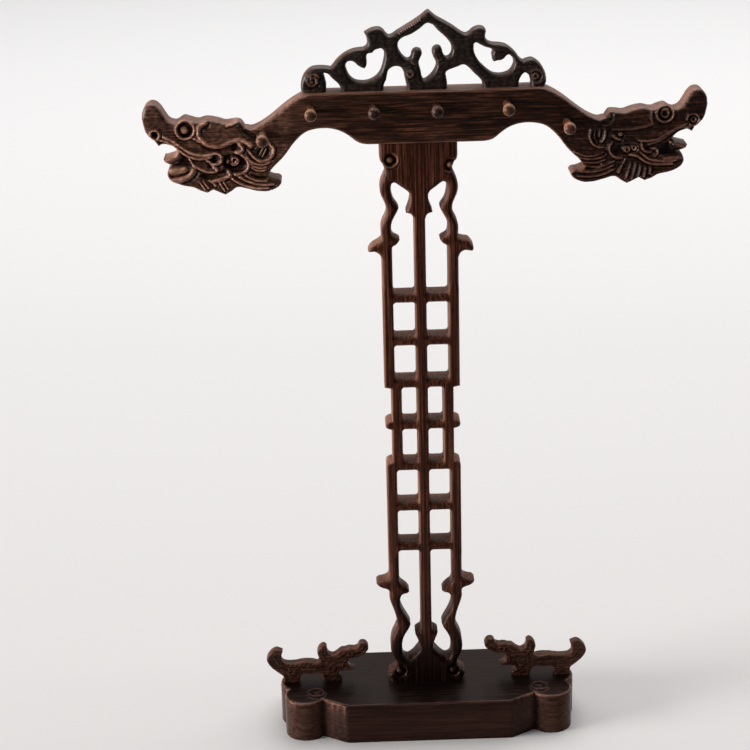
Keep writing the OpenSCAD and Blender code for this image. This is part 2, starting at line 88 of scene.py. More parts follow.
def nearestOn(points, segments, chunk=3000):  # distance to a set of segments, and the nearest point on them
    a = segments[:, 0]
    d = segments[:, 1] - a
    length = np.maximum((d * d).sum(1), 1e-12)
    dist = np.empty(len(points))
    near = np.empty((len(points), 2))
    for k in range(0, len(points), chunk):  # a few thousand at a time, to spare memory
        p = points[k:k + chunk, None]
        t = np.clip(((p - a) * d).sum(2) / length, 0, 1)
        q = a + t[..., None] * d
        s = ((p - q) ** 2).sum(2)
        best = s.argmin(1)
        row = np.arange(len(best))
        dist[k:k + chunk] = np.sqrt(s[row, best])
        near[k:k + chunk] = q[row, best]
    return dist, near


# Outlines of the CAD boards, in mm

def nodeBox(node):  # lowest and highest corner of a CAD node
    return [np.array(corner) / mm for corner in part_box(node)]


def flatOutline(node, plane, axis, level):  # rim of a node's flat face: edges that one triangle alone has
    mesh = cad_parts[node].data
    co = np.empty(len(mesh.vertices) * 3)
    mesh.vertices.foreach_get("co", co)
    co = co.reshape(-1, 3) / mm
    mesh.calc_loop_triangles()
    tri = np.empty(len(mesh.loop_triangles) * 3, int)
    mesh.loop_triangles.foreach_get("vertices", tri)
    tri = tri.reshape(-1, 3)
    face = tri[(np.abs(co[tri][:, :, axis] - level) < onLine).all(1)]
    points, index = np.unique(np.round(co[:, plane], 3), axis=0, return_inverse=True)
    corner = index.reshape(-1)[face]
    edges = np.concatenate([corner[:, [0, 1]], corner[:, [1, 2]], corner[:, [2, 0]]])
    edges, count = np.unique(np.sort(edges, axis=1), axis=0, return_counts=True)
    return points[edges[count == 1]]


def withoutHoles(outline, centres, radius):  # leaves out the round holes at these centres
    middle = outline.mean(1)
    away = np.sqrt(((middle[:, None] - np.asarray(centres)) ** 2).sum(2)).min(1)
    return outline[away > radius]


def sharpCorners(outline, least=40):  # corners where the rim turns by more than this many degrees
    ends = np.round(outline.reshape(-1, 2), 3)
    points, index = np.unique(ends, axis=0, return_inverse=True)
    other = ends.reshape(-1, 2, 2)[:, ::-1].reshape(-1, 2)
    pair = np.argsort(index.reshape(-1), kind="stable").reshape(-1, 2)
    a = other[pair[:, 0]] - points
    b = other[pair[:, 1]] - points
    cosine = (a * b).sum(1) / (np.linalg.norm(a, axis=1) * np.linalg.norm(b, axis=1))
    return points[np.degrees(np.arccos(np.clip(cosine, -1, 1))) < 180 - least]


def gridLines(start, stretches, through=()):  # lines in (end, step) stretches, some moved onto values
    lines = [np.array([start])]
    for end, step in stretches:
        count = max(1, int(round((end - lines[-1][-1]) / step)))
        lines.append(np.linspace(lines[-1][-1], end, count + 1)[1:])
    lines = np.concatenate(lines)
    for value in through:
        lines[np.abs(lines - value).argmin()] = value
    return lines


def insideOf(us, vs, outline):  # grid points inside the rim, by counting the crossings to their left
    u0, v0 = outline[:, 0].T
    u1, v1 = outline[:, 1].T
    s, j = np.nonzero((v0[:, None] <= vs) != (v1[:, None] <= vs))
    at = u0[s] + (vs[j] - v0[s]) / (v1[s] - v0[s]) * (u1[s] - u0[s])
    count = np.zeros((len(us) + 1, len(vs)), int)
    np.add.at(count, (np.searchsorted(us, at), j), 1)
    return np.cumsum(count, axis=0)[:-1] % 2 == 1


def pointsInside(points, outline):  # the same test for loose points
    u0, v0 = outline[:, 0].T
    u1, v1 = outline[:, 1].T
    u, v = points[:, :1], points[:, 1:]
    cross = (v0 <= v) != (v1 <= v)
    at = u0 + (v - v0) / np.where(v1 == v0, 1, v1 - v0) * (u1 - u0)
    return (cross & (at < u)).sum(1) % 2 == 1


# Carved boards: a grid over the face, its heights, and a wall between front and back

def outlineGrid(us, vs, outline, ground):  # grid of a board's face, its rim points drawn onto the outline
    at = np.stack(np.meshgrid(us, vs, indexing="ij"), -1)
    shape = at.shape[:2]
    inside = insideOf(us, vs, outline)
    dist, near = nearestOn(at.reshape(-1, 2), outline)
    dist = dist.reshape(shape)
    snap = np.zeros(shape, bool)
    low, high, every = slice(None, -1), slice(1, None), slice(None)
    for a, b in (((low, every), (high, every)), ((every, low), (every, high))):
        cut = inside[a] != inside[b]
        first = dist[a] <= dist[b]
        snap[a] |= cut & first
        snap[b] |= cut & ~first
    outward = near.reshape(shape + (2,)) - at
    outward = np.where(inside[..., None], outward, -outward).reshape(-1, 2)
    at = np.where(snap[..., None], near.reshape(shape + (2,)), at)
    corners = sharpCorners(outline)
    i = np.abs(us - corners[:, :1]).argmin(1)
    j = np.abs(vs - corners[:, 1:]).argmin(1)
    snap[i, j] = True
    at[i, j] = corners
    state = np.where(snap, 2, inside.astype(int)).reshape(-1)  # 0 outside, 1 inside, 2 on the rim
    at = at.reshape(-1, 2)
    dist = np.where(snap, 0, dist).reshape(-1)
    near = np.where(snap.reshape(-1, 1), at, near)
    for level in ground:  # the rim that stands on another piece is left out of the rounding
        foot = np.abs(near[:, 1] - level) < onLine
        free = outline[(np.abs(outline[:, :, 1] - level) > onLine).any(1)]
        dist[foot], near[foot] = nearestOn(at[foot], free)
    away = np.where(dist[:, None] > 0, near - at, outward)  # points on the rim take the way they were drawn
    away = away / np.maximum(np.linalg.norm(away, axis=1), 1e-9)[:, None]
    index = np.arange(at.shape[0]).reshape(shape)
    cells = np.stack([index[low, low], index[high, low], index[high, high], index[low, high]], -1)
    cells = cells.reshape(-1, 4)
    outs = (state[cells] == 0).sum(1)
    has = (state[cells] == 1).any(1)
    rims = cells[(outs == 0) & ~has]
    quads = np.concatenate([cells[(outs == 0) & has], rims[pointsInside(at[rims].mean(1), outline)]])
    tris = cells[outs == 1]
    first = (state[tris] == 0).argmax(1)
    tris = np.take_along_axis(tris, (first[:, None] + np.array([1, 2, 3])) % 4, 1)
    tris = tris[(state[tris] == 1).any(1) | pointsInside(at[tris].mean(1), outline)]
    used, new = np.unique(np.concatenate([quads.reshape(-1), tris.reshape(-1)]), return_inverse=True)
    new = new.reshape(-1)
    quads, tris = new[:quads.size].reshape(-1, 4), new[quads.size:].reshape(-1, 3)
    return at[used], dist[used], away[used], quads, tris


def meshPiece(name, points, faces, wearAndPaintedLight, sharp=38):  # object from points in mm, with the wear and the painted highlight and shade of its surface
    mesh = bpy.data.meshes.new(name)
    mesh.from_pydata((points * mm).tolist(), [], faces)
    mesh.attributes.new("wearAndPaintedLight", "FLOAT", "POINT").data.foreach_set("value", wearAndPaintedLight.astype(np.float32))
    mesh.polygons.foreach_set("use_smooth", np.ones(len(mesh.polygons), bool))
    mesh.set_sharp_from_angle(angle=np.radians(sharp))
    mesh.validate()
    piece = bpy.data.objects.new(name, mesh)
    bpy.context.scene.collection.objects.link(piece)
    return piece


def mortiseWall(at, rim, mouth):  # wall with two more rows, a gap between them and a pocket behind the gap
    n, m = len(at), len(rim)
    row = np.full(n, -1)
    row[rim[:, 0]] = np.arange(m) + 2 * n
    points = [np.column_stack([at[rim[:, 0]], np.full(m, side)]) for side in mouth["across"]]
    a, b = row[rim[:, 0]], row[rim[:, 1]]
    gap = (np.abs(at[rim, 1] - mouth["v"]) < onLine).all(1)
    gap &= (at[rim, 0] > mouth["u"][0] - onLine).all(1) & (at[rim, 0] < mouth["u"][1] + onLine).all(1)
    g = rim[gap]
    g = g[np.argsort(at[g[:, 0], 0])]
    line = np.concatenate([g[:, 0], g[-1:, 1]])
    k = len(line)
    depth = np.full(k, mouth["v"] + mouth["deep"])
    points += [np.column_stack([at[line, 0], depth, np.full(k, side)]) for side in mouth["across"]]
    top = 2 * n + 2 * m + np.arange(k)
    lo, hi = row[line], row[line] + m
    walls = [np.column_stack([rim[:, 1], rim[:, 0], a, b]),
             np.column_stack([b, a, a + m, b + m])[~gap],
             np.column_stack([b + m, a + m, rim[:, 0] + n, rim[:, 1] + n]),
             np.column_stack([lo[1:], lo[:-1], top[:-1], top[1:]]),
             np.column_stack([hi[:-1], hi[1:], top[1:] + k, top[:-1] + k]),
             np.column_stack([top[1:], top[:-1], top[:-1] + k, top[1:] + k]),
             np.array([[lo[0], hi[0], top[0] + k, top[0]], [hi[-1], lo[-1], top[-1], top[-1] + k]])]
    return np.concatenate(points), walls


def boardMesh(name, us, vs, outline, heights, order, ground=(), mouth=None):  # two carved faces and a wall
    at, dist, away, quads, tris = outlineGrid(us, vs, outline, ground)
    front, back, wearAndPaintedLight = heights(at[:, 0], at[:, 1], dist, away)
    n = len(at)
    edges = np.concatenate([quads[:, [0, 1]], quads[:, [1, 2]], quads[:, [2, 3]], quads[:, [3, 0]],
                            tris[:, [0, 1]], tris[:, [1, 2]], tris[:, [2, 0]]])
    code = edges[:, 0] * n + edges[:, 1]
    rim = edges[~np.isin(code, edges[:, 1] * n + edges[:, 0])]
    walls = [np.concatenate([rim[:, ::-1], rim + n], 1)]
    points = [np.column_stack([at, front]), np.column_stack([at, back])]
    wornAndPaintedLight = [wearAndPaintedLight, wearAndPaintedLight]
    if mouth:
        extra, walls = mortiseWall(at, rim, mouth)
        points.append(extra)
        wornAndPaintedLight += [wearAndPaintedLight[rim[:, 0]], wearAndPaintedLight[rim[:, 0]], np.full(len(extra) - 2 * len(rim), mouth["wearAndPaintedLight"])]
    faces = [quads, tris, quads[:, ::-1] + n, tris[:, ::-1] + n] + walls
    faces = [f for group in faces for f in group.tolist()]
    return meshPiece(name, np.concatenate(points)[:, order], faces, np.concatenate(wornAndPaintedLight))


def edgeDrop(dist, radius):  # how far a rounded edge falls below the face, a quarter circle
    k = np.clip(radius - dist, 0, radius)
    return radius - np.sqrt(np.maximum(radius ** 2 - k ** 2, 0))


def edgeWearAndPaintedLight(dist, radius):  # walls are painted paler than the faces, partly paler sawn wood and partly a painted highlight, fading over the rounded edge
    return np.clip(1 - dist / radius, 0, 1)


def nearPath(u, v, path, reach):  # the points within reach of a path, and the way from it to them
    low, high = path.min(0) - reach, path.max(0) + reach
    pick = np.nonzero((u > low[0]) & (u < high[0]) & (v > low[1]) & (v < high[1]))[0]
    at = np.stack([u[pick], v[pick]], 1)
    return pick, at - nearestOn(at, np.stack([path[:-1], path[1:]], 1))[1]


# A rib's sizes are in half widths, a hollow's rim in soft rims, and a stroke shorter than knob mm is round
ribForm = {"reach": 3.2, "upward": (-0.35, 0.94), "slope": 1.8, "steep": 0.3, "crown": 1.7, "cutFrom": 0.6,
           "cutWide": 1.5, "leastCut": 0.15, "knob": 1.0, "hollowRim": (-0.3, 0.7)}
# painted shade: how dark the hollows and the cut below each rib are painted
paintedShadeForm = {"hollow": 0.3, "cut": 0.6, "darkest": -0.8}


def ridges(u, v, strokes):  # ribs (half width, rise, path) like leaf edges: long slope, crest, cut below
    f = ribForm
    up, down, crown = np.zeros((3, len(u)))
    for width, rise, path in strokes:
        pick, away = nearPath(u, v, path, f["reach"] * width)
        dist = np.hypot(away[:, 0], away[:, 1])
        lean = (away * f["upward"]).sum(1) / np.maximum(dist, 1e-6)
        upper, lower = np.clip(lean, 0, 1), np.clip(-lean, 0, 1)
        if np.ptp(path, axis=0).max() < f["knob"]:
            form = np.sqrt(np.clip(1 - (dist / width) ** 2, 0, 1))
        else:
            form = np.clip(1 - dist / (width * (1 + f["slope"] * upper - f["steep"] * lower)), 0, 1)
        up[pick] = np.maximum(up[pick], rise * form)
        crest = np.clip(f["crown"] * (1 - dist / width), 0, 1)
        crown[pick] = np.maximum(crown[pick], min(rise, 1) * crest)
        cut = np.sin(np.pi * np.clip((dist / width - f["cutFrom"]) / f["cutWide"], 0, 1)) ** 2
        share = f["leastCut"] + (1 - f["leastCut"]) * lower
        down[pick] = np.minimum(down[pick], -rise * share * cut)
    return up + down, crown


def reliefWearAndPaintedLight(rib, crown, dip):  # crests painted pale, partly rubbed and partly a painted highlight; cuts and hollows painted dark as painted shade
    dark = paintedShadeForm["hollow"] * dip + paintedShadeForm["cut"] * np.minimum(rib, 0)
    return crown + (1 - crown) * np.clip(dark, paintedShadeForm["darkest"], 0)


def hollows(u, v, areas):  # sunken areas (depth, soft rim, closed path), the rim sloping across the path
    outer, inner = ribForm["hollowRim"]
    level = np.zeros(len(u))
    for depth, soft, path in areas:
        pick, away = nearPath(u, v, path, soft)
        inside = pointsInside(np.stack([u[pick], v[pick]], 1), np.stack([path[:-1], path[1:]], 1))
        deep = np.where(inside, 1, -1) * np.hypot(away[:, 0], away[:, 1])
        level[pick] = np.minimum(level[pick], -depth * smooth(deep, outer * soft, inner * soft))
    return level


def knifeMarks(u, v, size, depth):  # low facets left by the knife: two crossed and bent waves
    a = 2 * np.pi * u / size + 1.7 * np.sin(2 * np.pi * v / (1.3 * size))
    b = 2 * np.pi * v / size + 1.3 * np.sin(2 * np.pi * u / (1.7 * size))
    return depth * np.sin(a) * np.sin(b)


def dress(piece, body, slot, material, *nodes):  # wood, body, slot (not used) and the CAD nodes that a piece stands for
    piece.data.materials.append(material)
    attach(piece, body)
    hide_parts(*nodes)


# Finishes

def colour(text):  # sRGB hex to linear
    s = np.array([int(text[i:i + 2], 16) for i in (1, 3, 5)]) / 255
    return [float(c) for c in np.where(s <= 0.04045, s / 12.92, ((s + 0.055) / 1.055) ** 2.4)] + [1.0]


def addNode(tree, kind, settings, inputs):  # node with its settings, ramp stops and inputs or links
    node = tree.nodes.new("ShaderNode" + kind)
    for key, value in settings.items():
        if key != "stops":
            setattr(node, key, value)
    ramp = settings.get("stops", [])
    for stop in ramp[2:]:  # a new ramp has two stops already
        node.color_ramp.elements.new(1.0)
    for k, (place, text) in enumerate(ramp):
        node.color_ramp.elements[k].position = place
        node.color_ramp.elements[k].color = colour(text)
    for key, value in inputs.items():
        if isinstance(value, bpy.types.NodeSocket):
            tree.links.new(value, node.inputs[key])
        else:
            node.inputs[key].default_value = value
    return node


def rosewood(name, look):  # oiled and waxed rosewood: near-black with reddish streaks, paler where rubbed and where a highlight is painted, darker where shade is painted
    material = bpy.data.materials.new(name)
    material.use_nodes = True
    tree = material.node_tree
    tree.nodes.clear()
    place = addNode(tree, "TexCoord", {}, {}).outputs["Object"]

    def grain(along, across, **more):  # noise drawn out along the grain, its sizes in mm
        size = [across] * 3
        size[look["axis"]] = along
        scale = [1 / (s * mm) for s in size]
        at = addNode(tree, "Mapping", {}, {"Vector": place, "Scale": scale}).outputs["Vector"]
        return addNode(tree, "TexNoise", {}, {"Vector": at, "Scale": 1.0, **more}).outputs["Fac"]

    streak = grain(*look["streak"], Detail=5.0, Roughness=0.62, Distortion=0.4)
    band = grain(*look["band"], Detail=2.0, Roughness=0.5, Distortion=0.8)
    pore = grain(*look["pore"], Detail=2.0, Roughness=0.5)
    middle = {"From Min": 0.3, "From Max": 0.7}  # where most of a noise's values lie
    wood = addNode(tree, "ValToRGB", {"stops": look["tones"]}, {"Fac": streak}).outputs["Color"]
    shade = addNode(tree, "MapRange", {}, {"Value": band, **middle, "To Min": look["depth"],
                                           "To Max": 1.0}).outputs["Result"]
    wearAndPaintedLight = addNode(tree, "Attribute", {"attribute_name": "wearAndPaintedLight"}, {}).outputs["Fac"]
    # painted shade: where the attribute is below zero the wood is darkened, in hollows, cuts and recesses
    hollow = addNode(tree, "MapRange", {}, {"Value": wearAndPaintedLight, "From Min": -1.0, "From Max": 0.0,
                                            "To Min": look["hollow"], "To Max": 1.0}).outputs["Result"]
    dark = addNode(tree, "Math", {"operation": "MULTIPLY"}, {0: shade, 1: hollow}).outputs[0]
    speck = addNode(tree, "MapRange", {}, {"Value": pore, "From Min": 0.32, "From Max": 0.5,
                                           "To Min": look["speck"], "To Max": 1.0}).outputs["Result"]
    dark = addNode(tree, "Math", {"operation": "MULTIPLY"}, {0: dark, 1: speck}).outputs[0]
    wood = addNode(tree, "Mix", {"data_type": "RGBA", "blend_type": "MULTIPLY"},
                   {0: 1.0, 6: wood, 7: dark}).outputs[2]
    # pale wood mixed in on rubbed crests and edges and as a painted highlight
    paling = addNode(tree, "MapRange", {}, {"Value": wearAndPaintedLight, "From Min": 0.0, "From Max": 1.0,
                                         "To Min": 0.0, "To Max": look["paleShare"]}).outputs["Result"]
    pale = addNode(tree, "ValToRGB", {"stops": look["wornAndPaintedLight"]}, {"Fac": streak}).outputs["Color"]
    wood = addNode(tree, "Mix", {"data_type": "RGBA"}, {0: paling, 6: wood, 7: pale}).outputs[2]
    least, most = [look["rough"] + change for change in look["roughSpread"]]
    rough = addNode(tree, "MapRange", {}, {"Value": streak, **middle, "To Min": least,
                                           "To Max": most}).outputs["Result"]
    relief = addNode(tree, "Bump", {}, {"Strength": look["bump"], "Distance": look["poreDepth"] * mm,
                                        "Height": pore}).outputs["Normal"]
    skin = addNode(tree, "BsdfPrincipled", {}, {"Base Color": wood, "Roughness": rough, "Normal": relief,
                                                "IOR": 1.5, "Specular IOR Level": look["specular"],
                                                "Specular Tint": colour(look["sheen"])})
    addNode(tree, "OutputMaterial", {}, {"Surface": skin.outputs["BSDF"]})
    return material


barTones = [(0.38, "#1c0e0a"), (0.48, "#331a11"), (0.55, "#49291a"), (0.66, "#70442f")]
postTones = [(0.38, "#29150f"), (0.48, "#3f2016"), (0.55, "#552f21"), (0.66, "#754632")]
darkTones = [(0.36, "#17100d"), (0.52, "#2a1e19"), (0.7, "#433129")]
baseTones = [(0.34, "#1a1210"), (0.52, "#261a17"), (0.72, "#362722")]
beastTones = [(0.36, "#1f110d"), (0.55, "#3f241a"), (0.72, "#653e2d")]
pegTones = [(0.3, "#3f2418"), (0.5, "#673f2c"), (0.7, "#8a5a41")]
# Grain sizes are along and across in mm. Real pores are near 0.2 mm wide, drawn coarse so that they show
barLook = {"axis": 0, "streak": (16, 0.8), "band": (90, 7), "pore": (5, 0.7), "tones": barTones,
           "depth": 0.72, "hollow": 0.12, "speck": 0.5, "wornAndPaintedLight": [(0.38, "#8c5a43"), (0.65, "#d3a08a")],
           "paleShare": 0.8, "rough": 0.4, "roughSpread": (-0.05, 0.08), "bump": 0.2, "poreDepth": 0.25,
           "specular": 0.24, "sheen": "#ffffff"}
postLook = {**barLook, "axis": 2, "streak": (50, 0.85), "tones": postTones, "depth": 0.7, "specular": 0.08}
crestLook = {**barLook, "tones": darkTones, "paleShare": 0.6, "specular": 0.28}
baseLook = {**barLook, "tones": baseTones, "streak": (30, 1.4), "speck": 0.85, "paleShare": 0.5,
            "rough": 0.28, "specular": 0.2, "sheen": "#ffa98f"}
beastLook = {**barLook, "tones": beastTones, "specular": 0.12,
             "wornAndPaintedLight": [(0.36, "#5f3826"), (0.66, "#9d674d")]}
palePegLook = {**barLook, "axis": 1, "streak": (14, 0.9), "tones": pegTones, "depth": 0.7,
               "wornAndPaintedLight": [(0.36, "#9a6343"), (0.66, "#d09870")]}
darkPegLook = {**palePegLook, "tones": barTones, "wornAndPaintedLight": [(0.36, "#5d463b"), (0.66, "#7d6559")]}
barWood = rosewood("rosewoodBar", barLook)  # short streaks along the bar, tan crests partly painted as highlight, a satin polish
postWood = rosewood("rosewoodPost", postLook)  # long streaks up the post, and hardly any gloss
crestWood = rosewood("rosewoodCrest", crestLook)  # nearly black, so that its rounded edges catch the light
baseWood = rosewood("rosewoodBase", baseLook)  # even blackish brown under a warm sheen of wax
beastWood = rosewood("rosewoodBeast", beastLook)  # reddish brown with little gloss
palePegWood = rosewood("rosewoodPegPale", palePegLook)  # reddish tan, palest on the ends, partly rubbed and partly a painted highlight
darkPegWood = rosewood("rosewoodPegDark", darkPegLook)  # as dark as the bar, with greyer ends as a painted highlight
print("finishes made")


# Cross bar with a beast's head at each end

bar = {
    "thick": 17.0, "tall": 28.0, "sunk": 0.9, "headReach": 80.0, "headStep": 0.37, "bodyStep": 1.0,
    "edge": 1.1, "topEdge": 2.3, "topFrom": (2.0, 8.0), "topUntil": (84.0, 90.0), "neck": (70.0, 80.0),
    "wearAndPaintedLight": (1.0, 0.9), "paintedSideLight": (0.12, -0.34), "paintedSideLightUntil": (65.0, 110.0), "paling": 1.3, "edgeWearAndPaintedLight": 0.45,
    "pale": [(14.6, -4.8, 4.4, 0.35), (18.0, -11.5, 5.2, 0.3)], "facet": (6.5, 0.14), "pegHole": 3.0,
    # the mortise pocket's walls are painted dark, a painted shade
    "mortise": {"half": 12.15, "across": 4.15, "deep": 14.5, "wearAndPaintedLight": -0.4},
}
# Each head's carving, in points back from the snout and above the bar's underside: ribs are half width,
# rise and path, and hollows are depth, soft rim and closed path
leftHead = {
    "ribs": [
        (0.9, 0.9, [(8.5, 5.6), (12, 4.8), (16, 2.8), (18.5, 0.5), (21.5, -2.2), (25, -4.2), (29, -5.3),
                    (33, -5.2), (36, -4.5)]),
        (0.9, 0.9, [(11, 7), (15, 5.3), (18.5, 2.7), (22, -0.2), (25.5, -2.2), (29.5, -3.3), (34, -3.5),
                    (38, -2.6), (40.8, -3.8), (41.5, -6.2), (39.8, -8.3), (37, -8.5)]),
        (0.8, 0.7, [(25.5, 6.6), (28, 5.3), (30.5, 3.8)]),
        (1.5, 0.9, [(33.5, 13.9), (30.7, 12.5), (29.4, 9.8), (30, 6.5), (32.2, 3.8), (35.5, 1.9),
                    (39.5, 1.1), (43.5, 2), (47.5, 3.7), (51.5, 4.4), (55, 3), (57.3, 1)]),
        (1.0, 0.8, [(45, 12.2), (47.5, 12.8), (49.7, 13.5)]),
        (1.1, 0.9, [(50.7, 2.3), (52.5, 0.5), (52.6, -1.2), (51, -2.3), (49, -2.2)]),
        (1.0, 0.9, [(49.5, -2.7), (52.5, -4.3), (54.8, -6.7), (55.6, -9.5), (54.4, -12.2),
                    (51.5, -13.9), (48, -14.5)]),
        (1.7, 0.9, [(14.5, -16.9), (19, -16.5), (23, -15), (25.3, -13), (26.3, -10.7)]),
        (0.9, 0.9, [(24.2, -5.3), (25.8, -8), (28.5, -10.2), (32, -12), (35.5, -12.9), (38.2, -12.5),
                    (38.5, -11)]),
        (0.8, 0.8, [(33, -5.7), (35, -8), (37, -10.2), (38.4, -11.7)]),
        (1.2, 0.9, [(44.7, -12.9), (45.4, -14.6), (43, -16), (40, -17), (36.5, -17.7)]),
        (2.0, 0.9, [(12.6, -5.6), (17.4, -3.4)]),
        (1.9, 0.9, [(14.4, -11.8), (18, -11.5), (21.4, -11)]),
        (0.9, 1.9, spiral(48, -7.2, 2.4, 1.0, 1.4, 200)),
        (1.1, 1.9, [(44.3, -8.2), (44.8, -7)]),
        (0.9, 0.8, spiral(22.7, 10.6, 4.9, 4.9, 1.0, 90)),
        (2.4, 1.3, [(22.2, 10.4), (22.4, 10.3)]),
        (0.9, 0.9, spiral(6.4, 8.2, 2.7, 2.1, 0.9, -60)),
        (0.9, 0.9, [(67.5, 1.5), (69.1, -1), (68.7, -4), (66.5, -6.5), (63, -7.5), (60, -6.5),
                    (57.5, -4), (56, -1.7)]),
        (0.6, 0.9, [(61.2, -4.7), (63.5, -0.7)]),
        (0.6, 0.9, [(62.9, -5.3), (65.2, -1.2)]),
        (0.7, 0.8, [(54.5, -4.5), (57, -7.5), (60.5, -9.1), (64, -9.3), (67, -8)]),
        (0.7, 0.8, [(55.9, -7.7), (58, -9.9), (61.5, -11), (64.7, -10.8)]),
        (0.7, 0.8, [(56.8, -10.5), (59, -12), (62, -12.7), (64.6, -12.4)]),
        (0.8, 0.8, [(49.5, -15.2), (53.5, -17.7), (58, -19.5), (63, -20.4), (68.5, -20.3)]),
        (0.7, 0.8, [(53, -14.5), (56, -16.5), (60, -18), (65, -18.4)]),
        (0.8, 0.8, [(46, -16.3), (50, -19), (54.5, -20.9), (60, -22.2), (65.5, -22.2)]),
        (0.6, 0.8, [(29.2, -18.2), (31.7, -22.2)]),
        (0.6, 0.8, [(31.4, -18.2), (33.6, -21.5)]),
        (0.6, 0.8, [(39.5, -18.6), (42.2, -23.2)]),
        (0.6, 0.8, [(41.7, -18.2), (44, -22.4)]),
        (0.8, 0.7, [(34.5, -17.2), (37.5, -20.2)]),
    ],
    "hollows": [
        (1.0, 1.6, spiral(22.8, 10.5, 4.2, 4.2, 1.0, 0)),
        (1.9, 1.4, [(41.5, -4.3), (46, -3.2), (50.5, -3.6), (53.5, -6), (54.6, -9), (53.6, -12),
                    (50.5, -13.1), (46, -12.5), (42.5, -10), (41.5, -7)]),
        (1.6, 1.4, [(29, -14), (34, -13.4), (39, -13), (42.5, -11), (44, -12.3), (41.5, -15.2),
                    (37, -16.8), (32, -16.5)]),
        (1.9, 1.2, spiral(37.4, -5.9, 1.8, 1.8, 1.0, 0)),
        (1.7, 1.2, spiral(6.3, 8.2, 1.8, 1.8, 1.0, 0)),
        (1.2, 1.2, [(60, -3.4), (62.5, -6.3), (66, -5.4), (67.7, -2.7), (66, 0.8), (62.5, 0)]),
        (1.5, 1.6, [(50, 13.5), (53, 13.5), (55.5, 10), (59, 8), (61.5, 7), (60, 4), (56, 5.4), (52, 8.5)]),
        (1.6, 1.2, spiral(48.6, 0.2, 1.9, 1.9, 1.0, 0)),
        (2.0, 1.0, [(13, -8.1), (18, -7.2), (20, -5), (21, -3.6), (24, -5.6), (25.4, -8.4), (24, -9.2),
                    (18.5, -9.4), (13.4, -9.4)]),
        (1.0, 1.2, [(34, -6.4), (36.8, -10), (33.5, -10.4)]),
        (1.2, 1.2, [(14, -14.3), (19, -14), (23, -11.7), (24, -12.6), (20, -14.9), (15, -15.3)]),
        (1.0, 1.2, [(56, -14), (60, -15.3), (65, -15.5), (65, -17.3), (60, -17)]),
    ],
}
